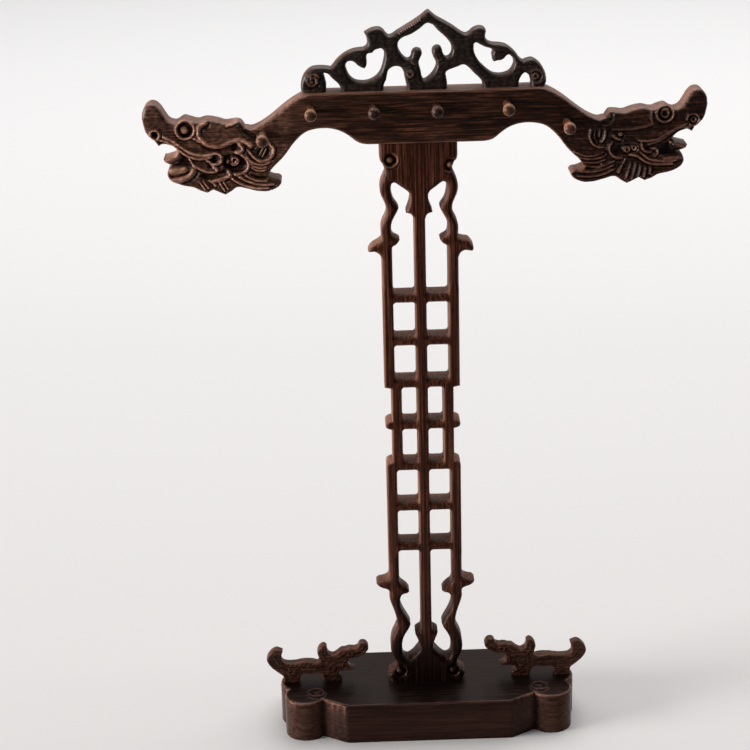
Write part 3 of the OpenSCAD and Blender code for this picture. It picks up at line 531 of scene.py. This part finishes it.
rightHead = {
    "ribs": [
        (0.8, 0.8, spiral(7.5, 8.4, 3.3, 3.1, 0.85, 0)),
        (0.8, 0.8, spiral(7.2, 8.4, 1.4, 1.2, 0.9, 60)),
        (0.9, 0.8, spiral(22.5, 12, 4.5, 4.5, 1.0, 90)),
        (0.9, 0.9, spiral(22.5, 12, 2.1, 2.1, 1.0, 90)),
        (2.0, 0.8, [(12.6, -5.4), (17, -3.6)]),
        (1.8, 0.8, [(14.4, -11.8), (18, -12.2), (22, -12.4)]),
        (0.9, 1.2, [(19.2, -3.6), (19.5, -3.4)]),
        (0.9, 0.7, [(29.6, 13.4), (29.8, 10), (29, 6.6)]),
        (0.9, 0.8, [(11, 6.2), (17.5, 3.5), (22, 1), (26.5, -1.5), (32, -2.5), (36, -2)]),
        (0.9, 0.8, [(9, 4.6), (14, 4.4), (18, 2.2), (22.5, -0.8), (27, -3.2), (31, -4.3)]),
        (0.9, 0.8, [(34.7, -3.2), (34.2, -6.4), (32, -8.3), (29.5, -8.6)]),
        (0.9, 0.8, [(30, -6.4), (26.8, -7), (25.8, -9), (27.6, -10.9)]),
        (0.9, 0.8, [(35, -8.7), (31, -12), (26, -13.3), (20, -14), (16, -13.4)]),
        (0.9, 0.8, [(41, -9.7), (36.5, -10.8), (32, -13.9), (26, -15.3), (18, -15.4)]),
        (0.8, 0.9, spiral(42.5, -7, 1.9, 0.8, 1.4, 0)),
        (0.7, 0.9, spiral(38.8, -6.2, 1.1, 1.1, 1.0, 0)),
        (1.2, 0.9, [(45.8, 1.8), (46.3, 1.5)]),
        (1.0, 0.9, [(50, 0.6), (48, -0.6), (46.3, -1.2)]),
        (0.9, 0.8, [(50.5, -2.5), (52, -5.5), (51, -9), (48, -11), (45, -11.4)]),
        (1.1, 0.6, [(29, 6.4), (36, 5), (44, 4.3), (50, 4.6)]),
        (0.8, 0.8, [(62, 4.5), (62.5, 0.5), (61, -3), (58, -5), (55, -5)]),
        (0.7, 0.8, [(59.7, 3.8), (60, 0), (58.5, -3)]),
        (0.7, 0.8, [(57.1, 4), (57.3, 0.3)]),
        (0.8, 0.8, [(54.3, 4.2), (54.5, 0.5), (56, -2.3)]),
        (0.7, 0.7, [(71, -7), (66, -9.3), (60, -9.7), (55, -7.9)]),
        (0.7, 0.7, [(68.5, -10), (63, -11.5), (57, -11.1), (53.5, -9.4)]),
        (0.7, 0.7, [(65, -13), (59, -13.5), (54, -12)]),
        (0.7, 0.7, [(64, -15.6), (58, -16), (53, -14.6), (49, -12.6)]),
        (0.8, 0.7, [(67, -18.2), (60, -18.4), (54, -17), (49.5, -15)]),
        (0.8, 0.7, [(68.5, -20.6), (61, -21), (54, -19.6), (49, -17.2)]),
        (0.7, 0.7, [(43.6, -12.6), (45.6, -16.6), (46.7, -19.6)]),
        (0.7, 0.7, [(40.4, -14.6), (41.8, -19.5), (43, -23)]),
        (0.7, 0.7, [(37.6, -15), (38.6, -19.5), (39.8, -22.8)]),
        (0.7, 0.7, [(35, -16.2), (35.6, -19.5), (36.3, -21.5)]),
        (0.7, 0.7, [(32.3, -17), (32.6, -19.5), (33, -22)]),
        (0.7, 0.7, [(29.6, -17.2), (30, -20.5)]),
    ],
    "hollows": [
        (1.0, 1.2, spiral(22.5, 12, 4, 4, 1.0, 0)),
        (0.8, 1.0, spiral(7.4, 8.4, 2.6, 2.6, 1.0, 0)),
        (1.2, 1.4, [(38, -3.5), (43, -3.2), (48, -4), (50, -7), (48.5, -9.8), (44, -10.2), (39.5, -9),
                    (37, -6)]),
        (1.0, 1.2, [(27, -4.6), (32, -5.4), (33, -7), (30, -7.6), (27.6, -6.2)]),
        (1.7, 1.0, [(14, -8.2), (18, -7.2), (19.6, -5), (21, -3.2), (24, -5.6), (25.4, -8.4),
                    (24, -9.8), (18.5, -9.8), (14, -9.6)]),
        (0.9, 1.4, [(50, 13.5), (53, 13.5), (55.5, 10), (57, 7), (53, 6.5), (50, 9)]),
        (0.9, 1.2, [(55, 3.4), (57, 5), (61, 4), (61, -1), (58, -3.8), (55.6, -1)]),
        (0.8, 1.2, [(56, -14.4), (62, -14.4), (65, -16.4), (60, -17.2)]),
    ],
}
low, high = nodeBox("bar")
barStart, barEnd = low[0], high[0]
barMid, halfSpan = (barStart + barEnd) / 2, (barEnd - barStart) / 2
barFoot = nodeBox("crest")[0][2] - bar["tall"]
pegNodes = sorted(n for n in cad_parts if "_peg_" in n)
pegCentres = [sum(nodeBox(n))[[0, 2]] / 2 for n in pegNodes]
barOutline = withoutHoles(flatOutline("bar", [0, 2], 1, low[1]), pegCentres, bar["pegHole"])
barRibs = placed(leftHead["ribs"], False, barStart, barFoot, 1)
barRibs += placed(rightHead["ribs"], False, barEnd, barFoot, -1)
barHollows = placed(leftHead["hollows"], True, barStart, barFoot, 1)
barHollows += placed(rightHead["hollows"], True, barEnd, barFoot, -1)


def barHeights(x, z, dist, away):  # faces of the bar: heads sunk a little and carved, the middle plain
    back = halfSpan - np.abs(x - barMid)
    left = x < barMid
    head = 1 - smooth(back, *bar["neck"])
    rib, crown = ridges(x, z, barRibs)
    dip = hollows(x, z, barHollows) + head * knifeMarks(x, z, *bar["facet"])
    top = smooth(z - barFoot, *bar["topFrom"]) * (1 - smooth(back, *bar["topUntil"])) * (away[:, 1] >= 0)
    edge = bar["edge"] + (bar["topEdge"] - bar["edge"]) * top
    level = bar["thick"] / 2 - bar["sunk"] * head + rib + dip - edgeDrop(dist, edge)
    relief = reliefWearAndPaintedLight(rib, crown, dip)
    paintedSideLight = np.where(left, *bar["paintedSideLight"]) * (1 - smooth(back, *bar["paintedSideLightUntil"]))  # painted side light: the left head painted paler as if lit, the right head painted darker as shaded, fading towards the middle
    wornAndPaintedLight = np.where(relief > 0, np.where(left, *bar["wearAndPaintedLight"]), 1) * relief + paintedSideLight
    for u, v, reach, share in bar["pale"]:  # the tongue and lower lip of the left head are painted pale all over, a painted highlight
        q = np.hypot(x - (barStart + u), z - (barFoot + v)) / reach
        wornAndPaintedLight = wornAndPaintedLight + share * np.exp(-q ** 4)
    rim = edgeWearAndPaintedLight(dist, bar["paling"])
    wall = bar["edgeWearAndPaintedLight"] * rim + (1 - rim) * np.minimum(relief + paintedSideLight, 0)
    return -level, level, np.maximum(wornAndPaintedLight, wall)


tooth = bar["mortise"]
toothEnds = (-tooth["half"], tooth["half"])
barUs = gridLines(barStart - margin, [(barStart + bar["headReach"], bar["headStep"]),
                                      (barEnd - bar["headReach"], bar["bodyStep"]),
                                      (barEnd + margin, bar["headStep"])], toothEnds)
barVs = gridLines(low[2] - margin, [(barFoot, bar["headStep"]), (high[2] + margin, bar["headStep"])])
mouth = {"v": barFoot, "u": toothEnds, "across": (-tooth["across"], tooth["across"]), "deep": tooth["deep"],
         "wearAndPaintedLight": tooth["wearAndPaintedLight"]}
piece = boardMesh("carved_bar", barUs, barVs, barOutline, barHeights, [0, 2, 1], mouth=mouth)
dress(piece, "bar", "grain_wood", barWood, "bar")
print("bar carved:", len(piece.data.polygons), "faces")


# Pierced post

post = {
    "thick": 14.0, "endStep": 0.5, "ladderStep": 0.8, "ladder": (108.0, 262.0), "blend": 8.0,
    "edge": 1.3, "endEdge": 2.8, "stem": (4.0, 8.0), "sill": 3.2, "sillFacing": (0.15, 0.95),
    "sillReach": (15.5, 17.5), "darkFoot": (50.0, 115.0), "darkBlock": (42.0, 60.0), "ears": (110.0, 140.0),
    "paling": 1.2, "wearAndPaintedLight": {"relief": 0.6, "edge": 0.42, "foot": 0.17, "sill": 0.08, "ears": 0.2, "wall": 0.8},
    "tenon": {"thick": 8.0, "top": (24.0, 14.0), "foot": (28.0, 16.0), "sunk": 1.0},  # width and length
    "eyes": [(-14.9, 337.3), (17.2, 333.8), (-15.4, 31.3), (15.6, 31.0)],
    "eyeHollow": 3.5, "eyeBall": 2.1, "eyeRim": 3.8,
}
tenon = post["tenon"]
low, high = nodeBox("post")
postFoot = low[2] + tenon["foot"][1]
postHead = high[2] - tenon["top"][1]
postOutline = flatOutline("post", [0, 2], 1, low[1])
postHollows = []
postRibs = []
for x, z in post["eyes"]:  # each eye is a ball in a round hollow, under a brow
    postHollows.append((1.5, 1.5, spiral(x, z, post["eyeHollow"], post["eyeHollow"], 1.0, 0)))
    postRibs.append((post["eyeBall"], 1.4, np.array([(x - 0.4, z), (x - 0.3, z)])))
    postRibs.append((0.8, 0.6, spiral(x, z, post["eyeRim"], post["eyeRim"], 0.55, -130)))


def postHeights(x, z, dist, away):  # flat faces with eased edges, rounder at the ends and on the front sills
    w = post["wearAndPaintedLight"]
    foot, top = post["ladder"]
    end = 1 - smooth(z, foot - post["blend"], foot) * (1 - smooth(z, top, top + post["blend"]))
    rib, crown = ridges(x, z, postRibs)
    dip = hollows(x, z, postHollows)
    sill = smooth(away[:, 1], *post["sillFacing"]) * (1 - smooth(np.abs(x), *post["sillReach"]))
    eased = post["edge"] + (post["endEdge"] - post["edge"]) * end * smooth(np.abs(x), *post["stem"])
    rounded = np.maximum(eased, post["edge"] + (post["sill"] - post["edge"]) * sill)
    level = post["thick"] / 2 + np.minimum(rib + dip, 0)
    dark = 1 - (smooth(z, *post["darkFoot"]) + smooth(z, *post["darkBlock"])) / 2
    relief = w["relief"] * reliefWearAndPaintedLight(rib, crown, dip) - dark
    rim = edgeWearAndPaintedLight(dist, post["paling"])
    edgePaleness = w["edge"] - w["foot"] * dark - w["sill"] * sill - w["ears"] * (1 - smooth(z, *post["ears"]))
    wall = edgePaleness * rim + (1 - w["wall"] * rim) * np.minimum(relief, 0)
    return edgeDrop(dist, rounded) - level, level - edgeDrop(dist, eased), np.maximum(relief, wall)


def boxPoints(x0, x1, y0, y1, z0, z1):  # closed box: corners and faces
    points = np.array([(x, y, z) for z in (z0, z1) for y in (y0, y1) for x in (x0, x1)])
    faces = [[0, 2, 3, 1], [4, 5, 7, 6], [0, 1, 5, 4], [2, 6, 7, 3], [0, 4, 6, 2], [1, 3, 7, 5]]
    return points, faces


postUs = gridLines(low[0] - margin, [(high[0] + margin, post["endStep"])])
postVs = gridLines(postFoot, [(post["ladder"][0], post["endStep"]), (post["ladder"][1], post["ladderStep"]),
                              (postHead, post["endStep"])])
piece = boardMesh("pierced_post", postUs, postVs, postOutline, postHeights, [0, 2, 1], (postFoot, postHead))
half = tenon["thick"] / 2
for name, z0, z1 in (("top", postHead - tenon["sunk"], high[2]), ("foot", low[2], postFoot + tenon["sunk"])):
    width = tenon[name][0]
    points, faces = boxPoints(-width / 2, width / 2, -half, half, z0, z1)
    pin = meshPiece("tenon_" + name, points, faces, np.zeros(8))
    pin.data.materials.append(postWood)
    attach(pin, "post")
dress(piece, "post", "grain_wood", postWood, "post")
print("post carved:", len(piece.data.polygons), "faces")


# Pierced crest

crest = {
    "thick": 11.0, "edge": 3.0, "step": 0.4, "facet": (5.0, 0.16), "inner": (0.5, 3.0), "sunk": 0.5,
    "paling": 1.1, "wearAndPaintedLight": {"relief": 0.5, "nick": 0.6, "edge": 0.25},
    "nicks": {"start": (-14.0, 29.6), "end": (0.6, 38.6), "share": (0.1, 0.85), "count": 11, "width": 0.55,
              "rise": 0.6, "from": 1.5, "to": 1.0, "proud": 0.3},
}
low, high = nodeBox("crest")
crestMid = (low[0] + high[0]) / 2
crestFoot = low[2]
crestOutline = flatOutline("crest", [0, 2], 1, low[1])
crestMarks = [
    (0.9, 0.8, spiral(-58.3, 6.2, 3.7, 0.9, 1.6, 30)),
    (0.8, 0.6, spiral(59.6, 5.4, 3.9, 3.6, 0.6, -80)),
    (0.8, 0.6, spiral(59.2, 5.4, 1.6, 1.0, 0.9, -30)),
    (0.8, 0.7, spiral(-6.6, 8.4, 2.1, 0.9, 1.1, 90)),
    (0.6, 0.5, [(-6.2, 14.6), (-3.9, 13.6), (-1.6, 15.4)]),
    (0.6, 0.5, [(6.4, 16.2), (8.6, 14.9), (11.2, 16.6)]),
]
nicks = crest["nicks"]
a, b = np.array(nicks["start"]), np.array(nicks["end"])
across = np.array([b[1] - a[1], a[0] - b[0]]) / np.linalg.norm(b - a)
nickMarks = []
for t in np.linspace(*nicks["share"], nicks["count"]):  # short nicks across the left slope of the roof
    at = a + (b - a) * t
    path = np.array([at - nicks["from"] * across, at + nicks["to"] * across])
    nickMarks.append((nicks["width"], nicks["rise"], path))
crestRibs = placed(crestMarks, False, crestMid, crestFoot, 1)
nickRibs = placed(nickMarks, False, crestMid, crestFoot, 1)


def crestHeights(x, z, dist, away):  # flat scrolls with rounded edges and knife marks
    w = crest["wearAndPaintedLight"]
    rib, crown = ridges(x, z, crestRibs)
    nick, nickCrown = ridges(x, z, nickRibs)
    mark = knifeMarks(x, z, *crest["facet"])
    inner = smooth(dist, *crest["inner"])
    sunk = crest["sunk"] * inner
    drop = edgeDrop(dist, crest["edge"])
    level = crest["thick"] / 2 - sunk + np.minimum(rib, sunk) + inner * mark - drop
    level = level + np.where(dist > 0, np.minimum(nick, drop + nicks["proud"] * inner), 0)
    relief = w["relief"] * reliefWearAndPaintedLight(rib, crown, mark) + w["nick"] * reliefWearAndPaintedLight(nick, nickCrown, 0)
    wall = w["edge"] * edgeWearAndPaintedLight(dist, crest["paling"]) + np.minimum(relief, 0)
    return -level, level, np.maximum(relief, wall)


crestUs = gridLines(low[0] - margin, [(high[0] + margin, crest["step"])])
crestVs = gridLines(crestFoot, [(high[2] + margin, crest["step"])])
piece = boardMesh("pierced_crest", crestUs, crestVs, crestOutline, crestHeights, [0, 2, 1], (crestFoot,))
dress(piece, "bar", "dark_wood", crestWood, "crest")
print("crest carved:", len(piece.data.polygons), "faces")


# Small beasts on the base

beast = {
    "thick": 7.0, "edge": 1.6, "step": 0.34, "facet": (6.0, 0.14), "inner": (0.3, 1.6), "sunk": 0.4,
    "rib": 0.6, "reliefWearAndPaintedLight": 0.25, "edgeWearAndPaintedLight": 0.24, "wearAndPaintedLightFrom": (1.0, 9.0),
    "scales": {"count": 7, "start": 31.5, "apart": 2.6},
}
# Back from the snout and above the feet
beastMarks = [
    (0.7, 0.6, spiral(10.4, 17.6, 1.6, 1.5, 1.0, 0)),
    (0.6, 0.5, [(2.6, 22), (4, 20.4), (6.4, 19)]),
    (0.7, 0.5, [(13.5, 18.6), (16.5, 16.4), (20, 14.2), (23.5, 14)]),
    (0.7, 0.5, [(26.8, 21.6), (27.4, 18.5), (26.2, 15.4), (23.6, 12.4)]),
    (0.7, 0.5, [(48, 10.2), (52.6, 12.4), (54.8, 16)]),
    (0.9, 0.3, spiral(45.6, 6.6, 2.8, 1.0, 1.0, 60)),
    (0.9, 0.3, spiral(22.2, 8.4, 2.8, 1.0, 1.0, 60)),
    (0.6, 0.5, [(13, 13.8), (14.8, 11.6), (15, 9.4)]),
]
mouthLine = [(3, 18.6), (5, 17.6), (8, 16.6), (11.6, 15.8), (11, 16.4), (7.6, 17.2), (4.6, 18.4)]
for k in range(beast["scales"]["count"]):
    x = beast["scales"]["start"] + beast["scales"]["apart"] * k
    beastMarks.append((0.5, 0.35, [(x, 12.4), (x + 1.1, 10.4)]))


def carvedBeast(node, side):  # a board carved on the beast's outline, its marks turned to the way it faces
    low, high = nodeBox(node)
    snout = high[0] if side < 0 else low[0]
    beastRibs = placed(beastMarks, False, snout, low[2], side)
    beastHollows = placed([(0.8, 0.9, mouthLine)], True, snout, low[2], side)

    def beastHeights(x, z, dist, away):  # rounded body with knife marks, no pale wear and no painted highlight near the feet
        rib, crown = ridges(x, z, beastRibs)
        dip = hollows(x, z, beastHollows)
        inner = smooth(dist, *beast["inner"])
        sunk = beast["sunk"] * inner
        level = beast["thick"] / 2 - sunk + np.minimum(beast["rib"] * rib, sunk) + dip
        level = level + inner * knifeMarks(x, z, *beast["facet"]) - edgeDrop(dist, beast["edge"])
        relief = beast["reliefWearAndPaintedLight"] * reliefWearAndPaintedLight(rib, crown, dip)
        wall = beast["edgeWearAndPaintedLight"] * edgeWearAndPaintedLight(dist, beast["edge"]) + np.minimum(relief, 0)
        return -level, level, np.maximum(relief, wall) * smooth(z - low[2], *beast["wearAndPaintedLightFrom"])

    us = gridLines(low[0] - margin, [(high[0] + margin, beast["step"])])
    vs = gridLines(low[2], [(high[2] + margin, beast["step"])])
    outline = flatOutline(node, [0, 2], 1, low[1])
    name = "small_beast_" + node.split("_")[0]
    return boardMesh(name, us, vs, outline, beastHeights, [0, 2, 1], (low[2],))


for side, node in ((-1, "left_small_dragon"), (1, "right_small_dragon")):
    dress(carvedBeast(node, side), "base", "dark_wood", beastWood, node)
print("small beasts carved")


# Moulded base

base = {
    "top": 24.0, "edge": 1.3, "step": 1.0, "fine": 0.5, "margin": 0.3,
    "rosette": {"x": 64.8, "y": 17.0, "ring": 4.5, "wide": 1.5, "power": 1.2, "rise": 1.2, "heart": 1.8,
                "heartRise": 0.6, "heartEdge": 0.5, "sunk": 0.3, "slope": (0.8, 2.0), "clear": 1.0},
    "mortise": {"x": 14.15, "y": 4.15, "deep": 16.5, "wall": 0.03},
    "wearAndPaintedLight": {"rim": 0.4, "leastRim": 0.2, "rimFrom": (46.0, 58.0), "lobe": 0.09, "lobeFrom": (52.0, 62.0),
             "lobeRim": (0.2, 0.8), "top": 0.8, "topFrom": (0.5, 3.0), "ring": 0.75, "hollow": 0.3,
             "pocket": 0.5},
}
low, high = nodeBox("base")
baseOutline = flatOutline("base", [0, 1], 2, low[2])


def baseHeights(x, y, dist, away):  # flat top with an eased rim, a mortise and a carved ring at each corner
    r, m, w = base["rosette"], base["mortise"], base["wearAndPaintedLight"]
    q = np.hypot(np.abs(x) - r["x"], np.abs(y) - r["y"])
    ring = np.clip(1 - ((q - r["ring"]) / r["wide"]) ** 2, 0, 1) ** r["power"]
    heart = r["heartRise"] * np.clip(1 - (q / r["heart"]) ** 2, 0, 1)
    around = 1 - smooth(r["heart"] - q, 0, r["heartEdge"])
    hollow = -r["sunk"] * smooth(r["ring"] - q, *r["slope"]) * around
    pocket = (np.abs(x) < m["x"] + onLine) & (np.abs(y) < m["y"] + onLine)
    rise = r["rise"] * ring + heart + hollow
    top = base["top"] - edgeDrop(dist, base["edge"]) + rise - m["deep"] * pocket
    t = np.clip(dist / base["edge"], 0, 1)
    # A pale line half way round the edge only, partly rubbing and partly a painted highlight, because the
    # sides are as dark as the top, and mostly at the lobes
    rim = 4 * t * (1 - t)
    rim = rim * (w["leastRim"] + (1 - w["leastRim"]) * smooth(np.abs(x), *w["rimFrom"]))
    # the lobes' walls are painted a little paler, end grain and a painted highlight on their round sides
    lobes = w["lobe"] * smooth(np.abs(x), *w["lobeFrom"]) * (1 - smooth(dist, *w["lobeRim"]))
    # the top is darker away from its edge, and the raised rings are painted paler as a painted highlight
    wornAndPaintedLight = lobes - w["top"] * smooth(dist, *w["topFrom"]) + w["ring"] * ring
    # painted shade in the rosette hollows and in the mortise pocket
    wornAndPaintedLight = wornAndPaintedLight + w["hollow"] * np.clip(hollow, -1, 0) + w["rim"] * rim - w["pocket"] * pocket
    return top, np.full(len(x), low[2]), wornAndPaintedLight


def baseLines(axis, start, end):  # grid lines, fine at the rings and in pairs at the mortise's walls
    r, m = base["rosette"], base["mortise"]
    inner = r[axis] - (r["ring"] + r["wide"] + r["clear"])
    half, wall = m[axis], m[axis] + m["wall"]
    return gridLines(start - base["margin"], [(-inner, base["fine"]), (-wall, base["step"]), (-half, 1),
                                              (half, base["step"]), (wall, 1), (inner, base["step"]),
                                              (end + base["margin"], base["fine"])])


baseUs, baseVs = baseLines("x", low[0], high[0]), baseLines("y", low[1], high[1])
piece = boardMesh("moulded_base", baseUs, baseVs, baseOutline, baseHeights, [0, 1, 2])
dress(piece, "base", "base_wood", baseWood, "base")
print("base moulded:", len(piece.data.polygons), "faces")


# Turned pegs

peg = {"dark": (3, 4), "sides": 32, "paleFrom": 2.6, "wearAndPaintedLight": (-0.5, 0.6), "endDarkening": -0.4, "sharp": 50}
# Radius and distance out of the bar's face, from the hidden root to the middle of the end
pegProfile = np.array([(0, -5.9), (2.0, -5.9), (2.1, -5.4), (2.1, 0.2), (2.15, 3.5), (2.25, 6.5),
                       (2.45, 9), (2.75, 11.5), (3.0, 13.5), (3.18, 15), (3.2, 16), (3.0, 17.2),
                       (2.5, 18.1), (1.7, 18.7), (0.9, 18.95), (0, 19)])


def turned(profile, centre, out, face):  # profile turned about an axis along Y
    line = curveThrough(profile, pieces=3)[1:-1]
    a = np.linspace(0, 2 * np.pi, peg["sides"], endpoint=False)
    r, y = line[:, 0, None], line[:, 1, None]
    ring = [centre[0] + r * np.cos(a), face + out * y + 0 * a, centre[1] + out * r * np.sin(a)]
    ring = np.stack(ring, -1)
    ends = np.array([(centre[0], face + out * profile[k, 1], centre[1]) for k in (0, -1)])
    rows, cols = ring.shape[:2]
    index = np.arange(rows * cols).reshape(rows, cols)
    side = np.roll(index, -1, 1)
    quads = np.stack([index[:-1], index[1:], side[1:], side[:-1]], -1).reshape(-1, 4).tolist()
    first, last = rows * cols, rows * cols + 1
    caps = np.stack([np.full(cols, first), index[0], side[0]], -1).tolist()
    caps += np.stack([index[-1], np.full(cols, last), side[-1]], -1).tolist()
    # painted shadow on the thin shaft, the bulb paler as a painted highlight, and the middle of the end
    # painted darker
    wornAndPaintedLight = np.repeat(np.clip(line[:, 0] - peg["paleFrom"], *peg["wearAndPaintedLight"]), cols)
    wornAndPaintedLight = np.concatenate([wornAndPaintedLight, [0, peg["endDarkening"]]])
    return np.concatenate([ring.reshape(-1, 3), ends]), quads + caps, wornAndPaintedLight


for node, centre in zip(pegNodes, pegCentres):
    out = -1 if node.startswith("front") else 1
    points, faces, wornAndPaintedLight = turned(pegProfile, centre, out, out * bar["thick"] / 2)
    number = int(node.split("_")[-1])
    piece = meshPiece("turned_" + node, points, faces, wornAndPaintedLight, peg["sharp"])
    dress(piece, "bar", "peg_wood", darkPegWood if number in peg["dark"] else palePegWood, node)
for node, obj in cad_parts.items():
    if "dowel" in node:  # hidden glued dowels keep their CAD shape
        obj.data.materials.clear()
        obj.data.materials.append(palePegWood)
print("pegs turned:", len(pegNodes))


# Floor, lights and camera

stage = {"left": -3.0, "right": 3.0, "front": -0.3, "back": 5.0, "palest": 2.7,
         "paintedFalloff": [(0.0, "#cbc8c7"), (0.32, "#d0cecd"), (0.81, "#e5e4e4"), (1.0, "#edecec")]}
floorMesh = bpy.data.meshes.new("pale_floor")
corners = [("left", "front"), ("right", "front"), ("right", "back"), ("left", "back")]
floorMesh.from_pydata([(stage[a], stage[b], 0) for a, b in corners], [], [[0, 1, 2, 3]])
floor = bpy.data.objects.new("pale_floor", floorMesh)
bpy.context.scene.collection.objects.link(floor)
floorPaper = bpy.data.materials.new("matteStudioPaper")  # smooth matte paper, painted paler towards the back and darker towards the front, a painted falloff of light
floorPaper.use_nodes = True
tree = floorPaper.node_tree
tree.nodes.clear()
place = addNode(tree, "TexCoord", {}, {}).outputs["Object"]
deep = addNode(tree, "SeparateXYZ", {}, {"Vector": place}).outputs["Y"]
deep = addNode(tree, "MapRange", {}, {"Value": deep, "From Min": stage["front"],
                                      "From Max": stage["palest"]}).outputs["Result"]
paintedFalloff = addNode(tree, "ValToRGB", {"stops": stage["paintedFalloff"]}, {"Fac": deep}).outputs["Color"]
skin = addNode(tree, "BsdfPrincipled", {}, {"Base Color": paintedFalloff, "Roughness": 0.8,
                                            "Specular IOR Level": 0.1})
addNode(tree, "OutputMaterial", {}, {"Surface": skin.outputs["BSDF"]})
floorMesh.materials.append(floorPaper)

# Pale backdrop behind and above, a dim room in front
backdrop = {"colour": "#f4f3f2", "from": (-0.2, 0.6), "strength": (0.1, 0.45)}
world = bpy.data.worlds.new("studio")
bpy.context.scene.world = world
world.use_nodes = True
tree = world.node_tree
tree.nodes.clear()
way = addNode(tree, "TexCoord", {}, {}).outputs["Generated"]
depth = addNode(tree, "SeparateXYZ", {}, {"Vector": way}).outputs["Y"]
behind = addNode(tree, "MapRange", {"interpolation_type": "SMOOTHSTEP"},
                 {"Value": depth, "From Min": backdrop["from"][0], "From Max": backdrop["from"][1],
                  "To Min": backdrop["strength"][0], "To Max": backdrop["strength"][1]}).outputs["Result"]
sky = addNode(tree, "Background", {}, {"Color": colour(backdrop["colour"]), "Strength": behind})
addNode(tree, "OutputWorld", {}, {"Surface": sky.outputs["Background"]})


def stand(rig, at, right, up, back):  # sets a lamp or camera at a place, looking away from back
    turn = np.eye(4)
    turn[:3, :3] = np.stack([right, up, back], 1)
    turn[:3, 3] = at
    rig.matrix_world = Matrix(turn.tolist())
    bpy.context.scene.collection.objects.link(rig)


lamps = {
    "key": {"at": (-6.0, -1.45, 1.1), "aim": (-0.05, 0, 0.3), "size": 2.8, "watts": 740.0},
    "top": {"at": (0.3, 1.1, 2.6), "aim": (0.3, 1.0, 0), "size": 3.0, "watts": 80.0},
    "fill": {"at": (2.6, 1.2, 1.6), "aim": (0.4, 0.2, 0), "size": 2.0, "watts": 18.0},
}
for name, lamp in lamps.items():
    light = bpy.data.lights.new(name, "AREA")
    light.size = lamp["size"]
    light.energy = lamp["watts"]
    back = np.array(lamp["at"]) - np.array(lamp["aim"])
    back = back / np.linalg.norm(back)
    right = np.cross([0, 1, 0.001], back)
    right = right / np.linalg.norm(right)
    stand(bpy.data.objects.new(name, light), lamp["at"], right, np.cross(back, right), back)

shot = {"lens": 96.03, "sensor": 36, "reach": 50, "tilt": 19.69, "yaw": -0.85, "roll": -1.456,
        "target": (-0.02605, 0, 0.21349), "away": 1.1159}
tilt, yaw, roll = np.radians([shot["tilt"], shot["yaw"], shot["roll"]])
back = np.array([np.sin(yaw) * np.cos(tilt), -np.cos(yaw) * np.cos(tilt), np.sin(tilt)])
level = np.array([np.cos(yaw), np.sin(yaw), 0])
rise = np.cross(level, -back)
right = np.cos(roll) * level + np.sin(roll) * rise
up = np.cos(roll) * rise - np.sin(roll) * level
cameraData = bpy.data.cameras.new("camera")
cameraData.lens = shot["lens"]
cameraData.sensor_width = shot["sensor"]
cameraData.clip_end = shot["reach"]
camera = bpy.data.objects.new("camera", cameraData)
stand(camera, np.array(shot["target"]) + shot["away"] * back, right, up, back)
bpy.context.scene.camera = camera
bpy.context.scene.view_settings.view_transform = "Standard"
print("floor, lights and camera set")
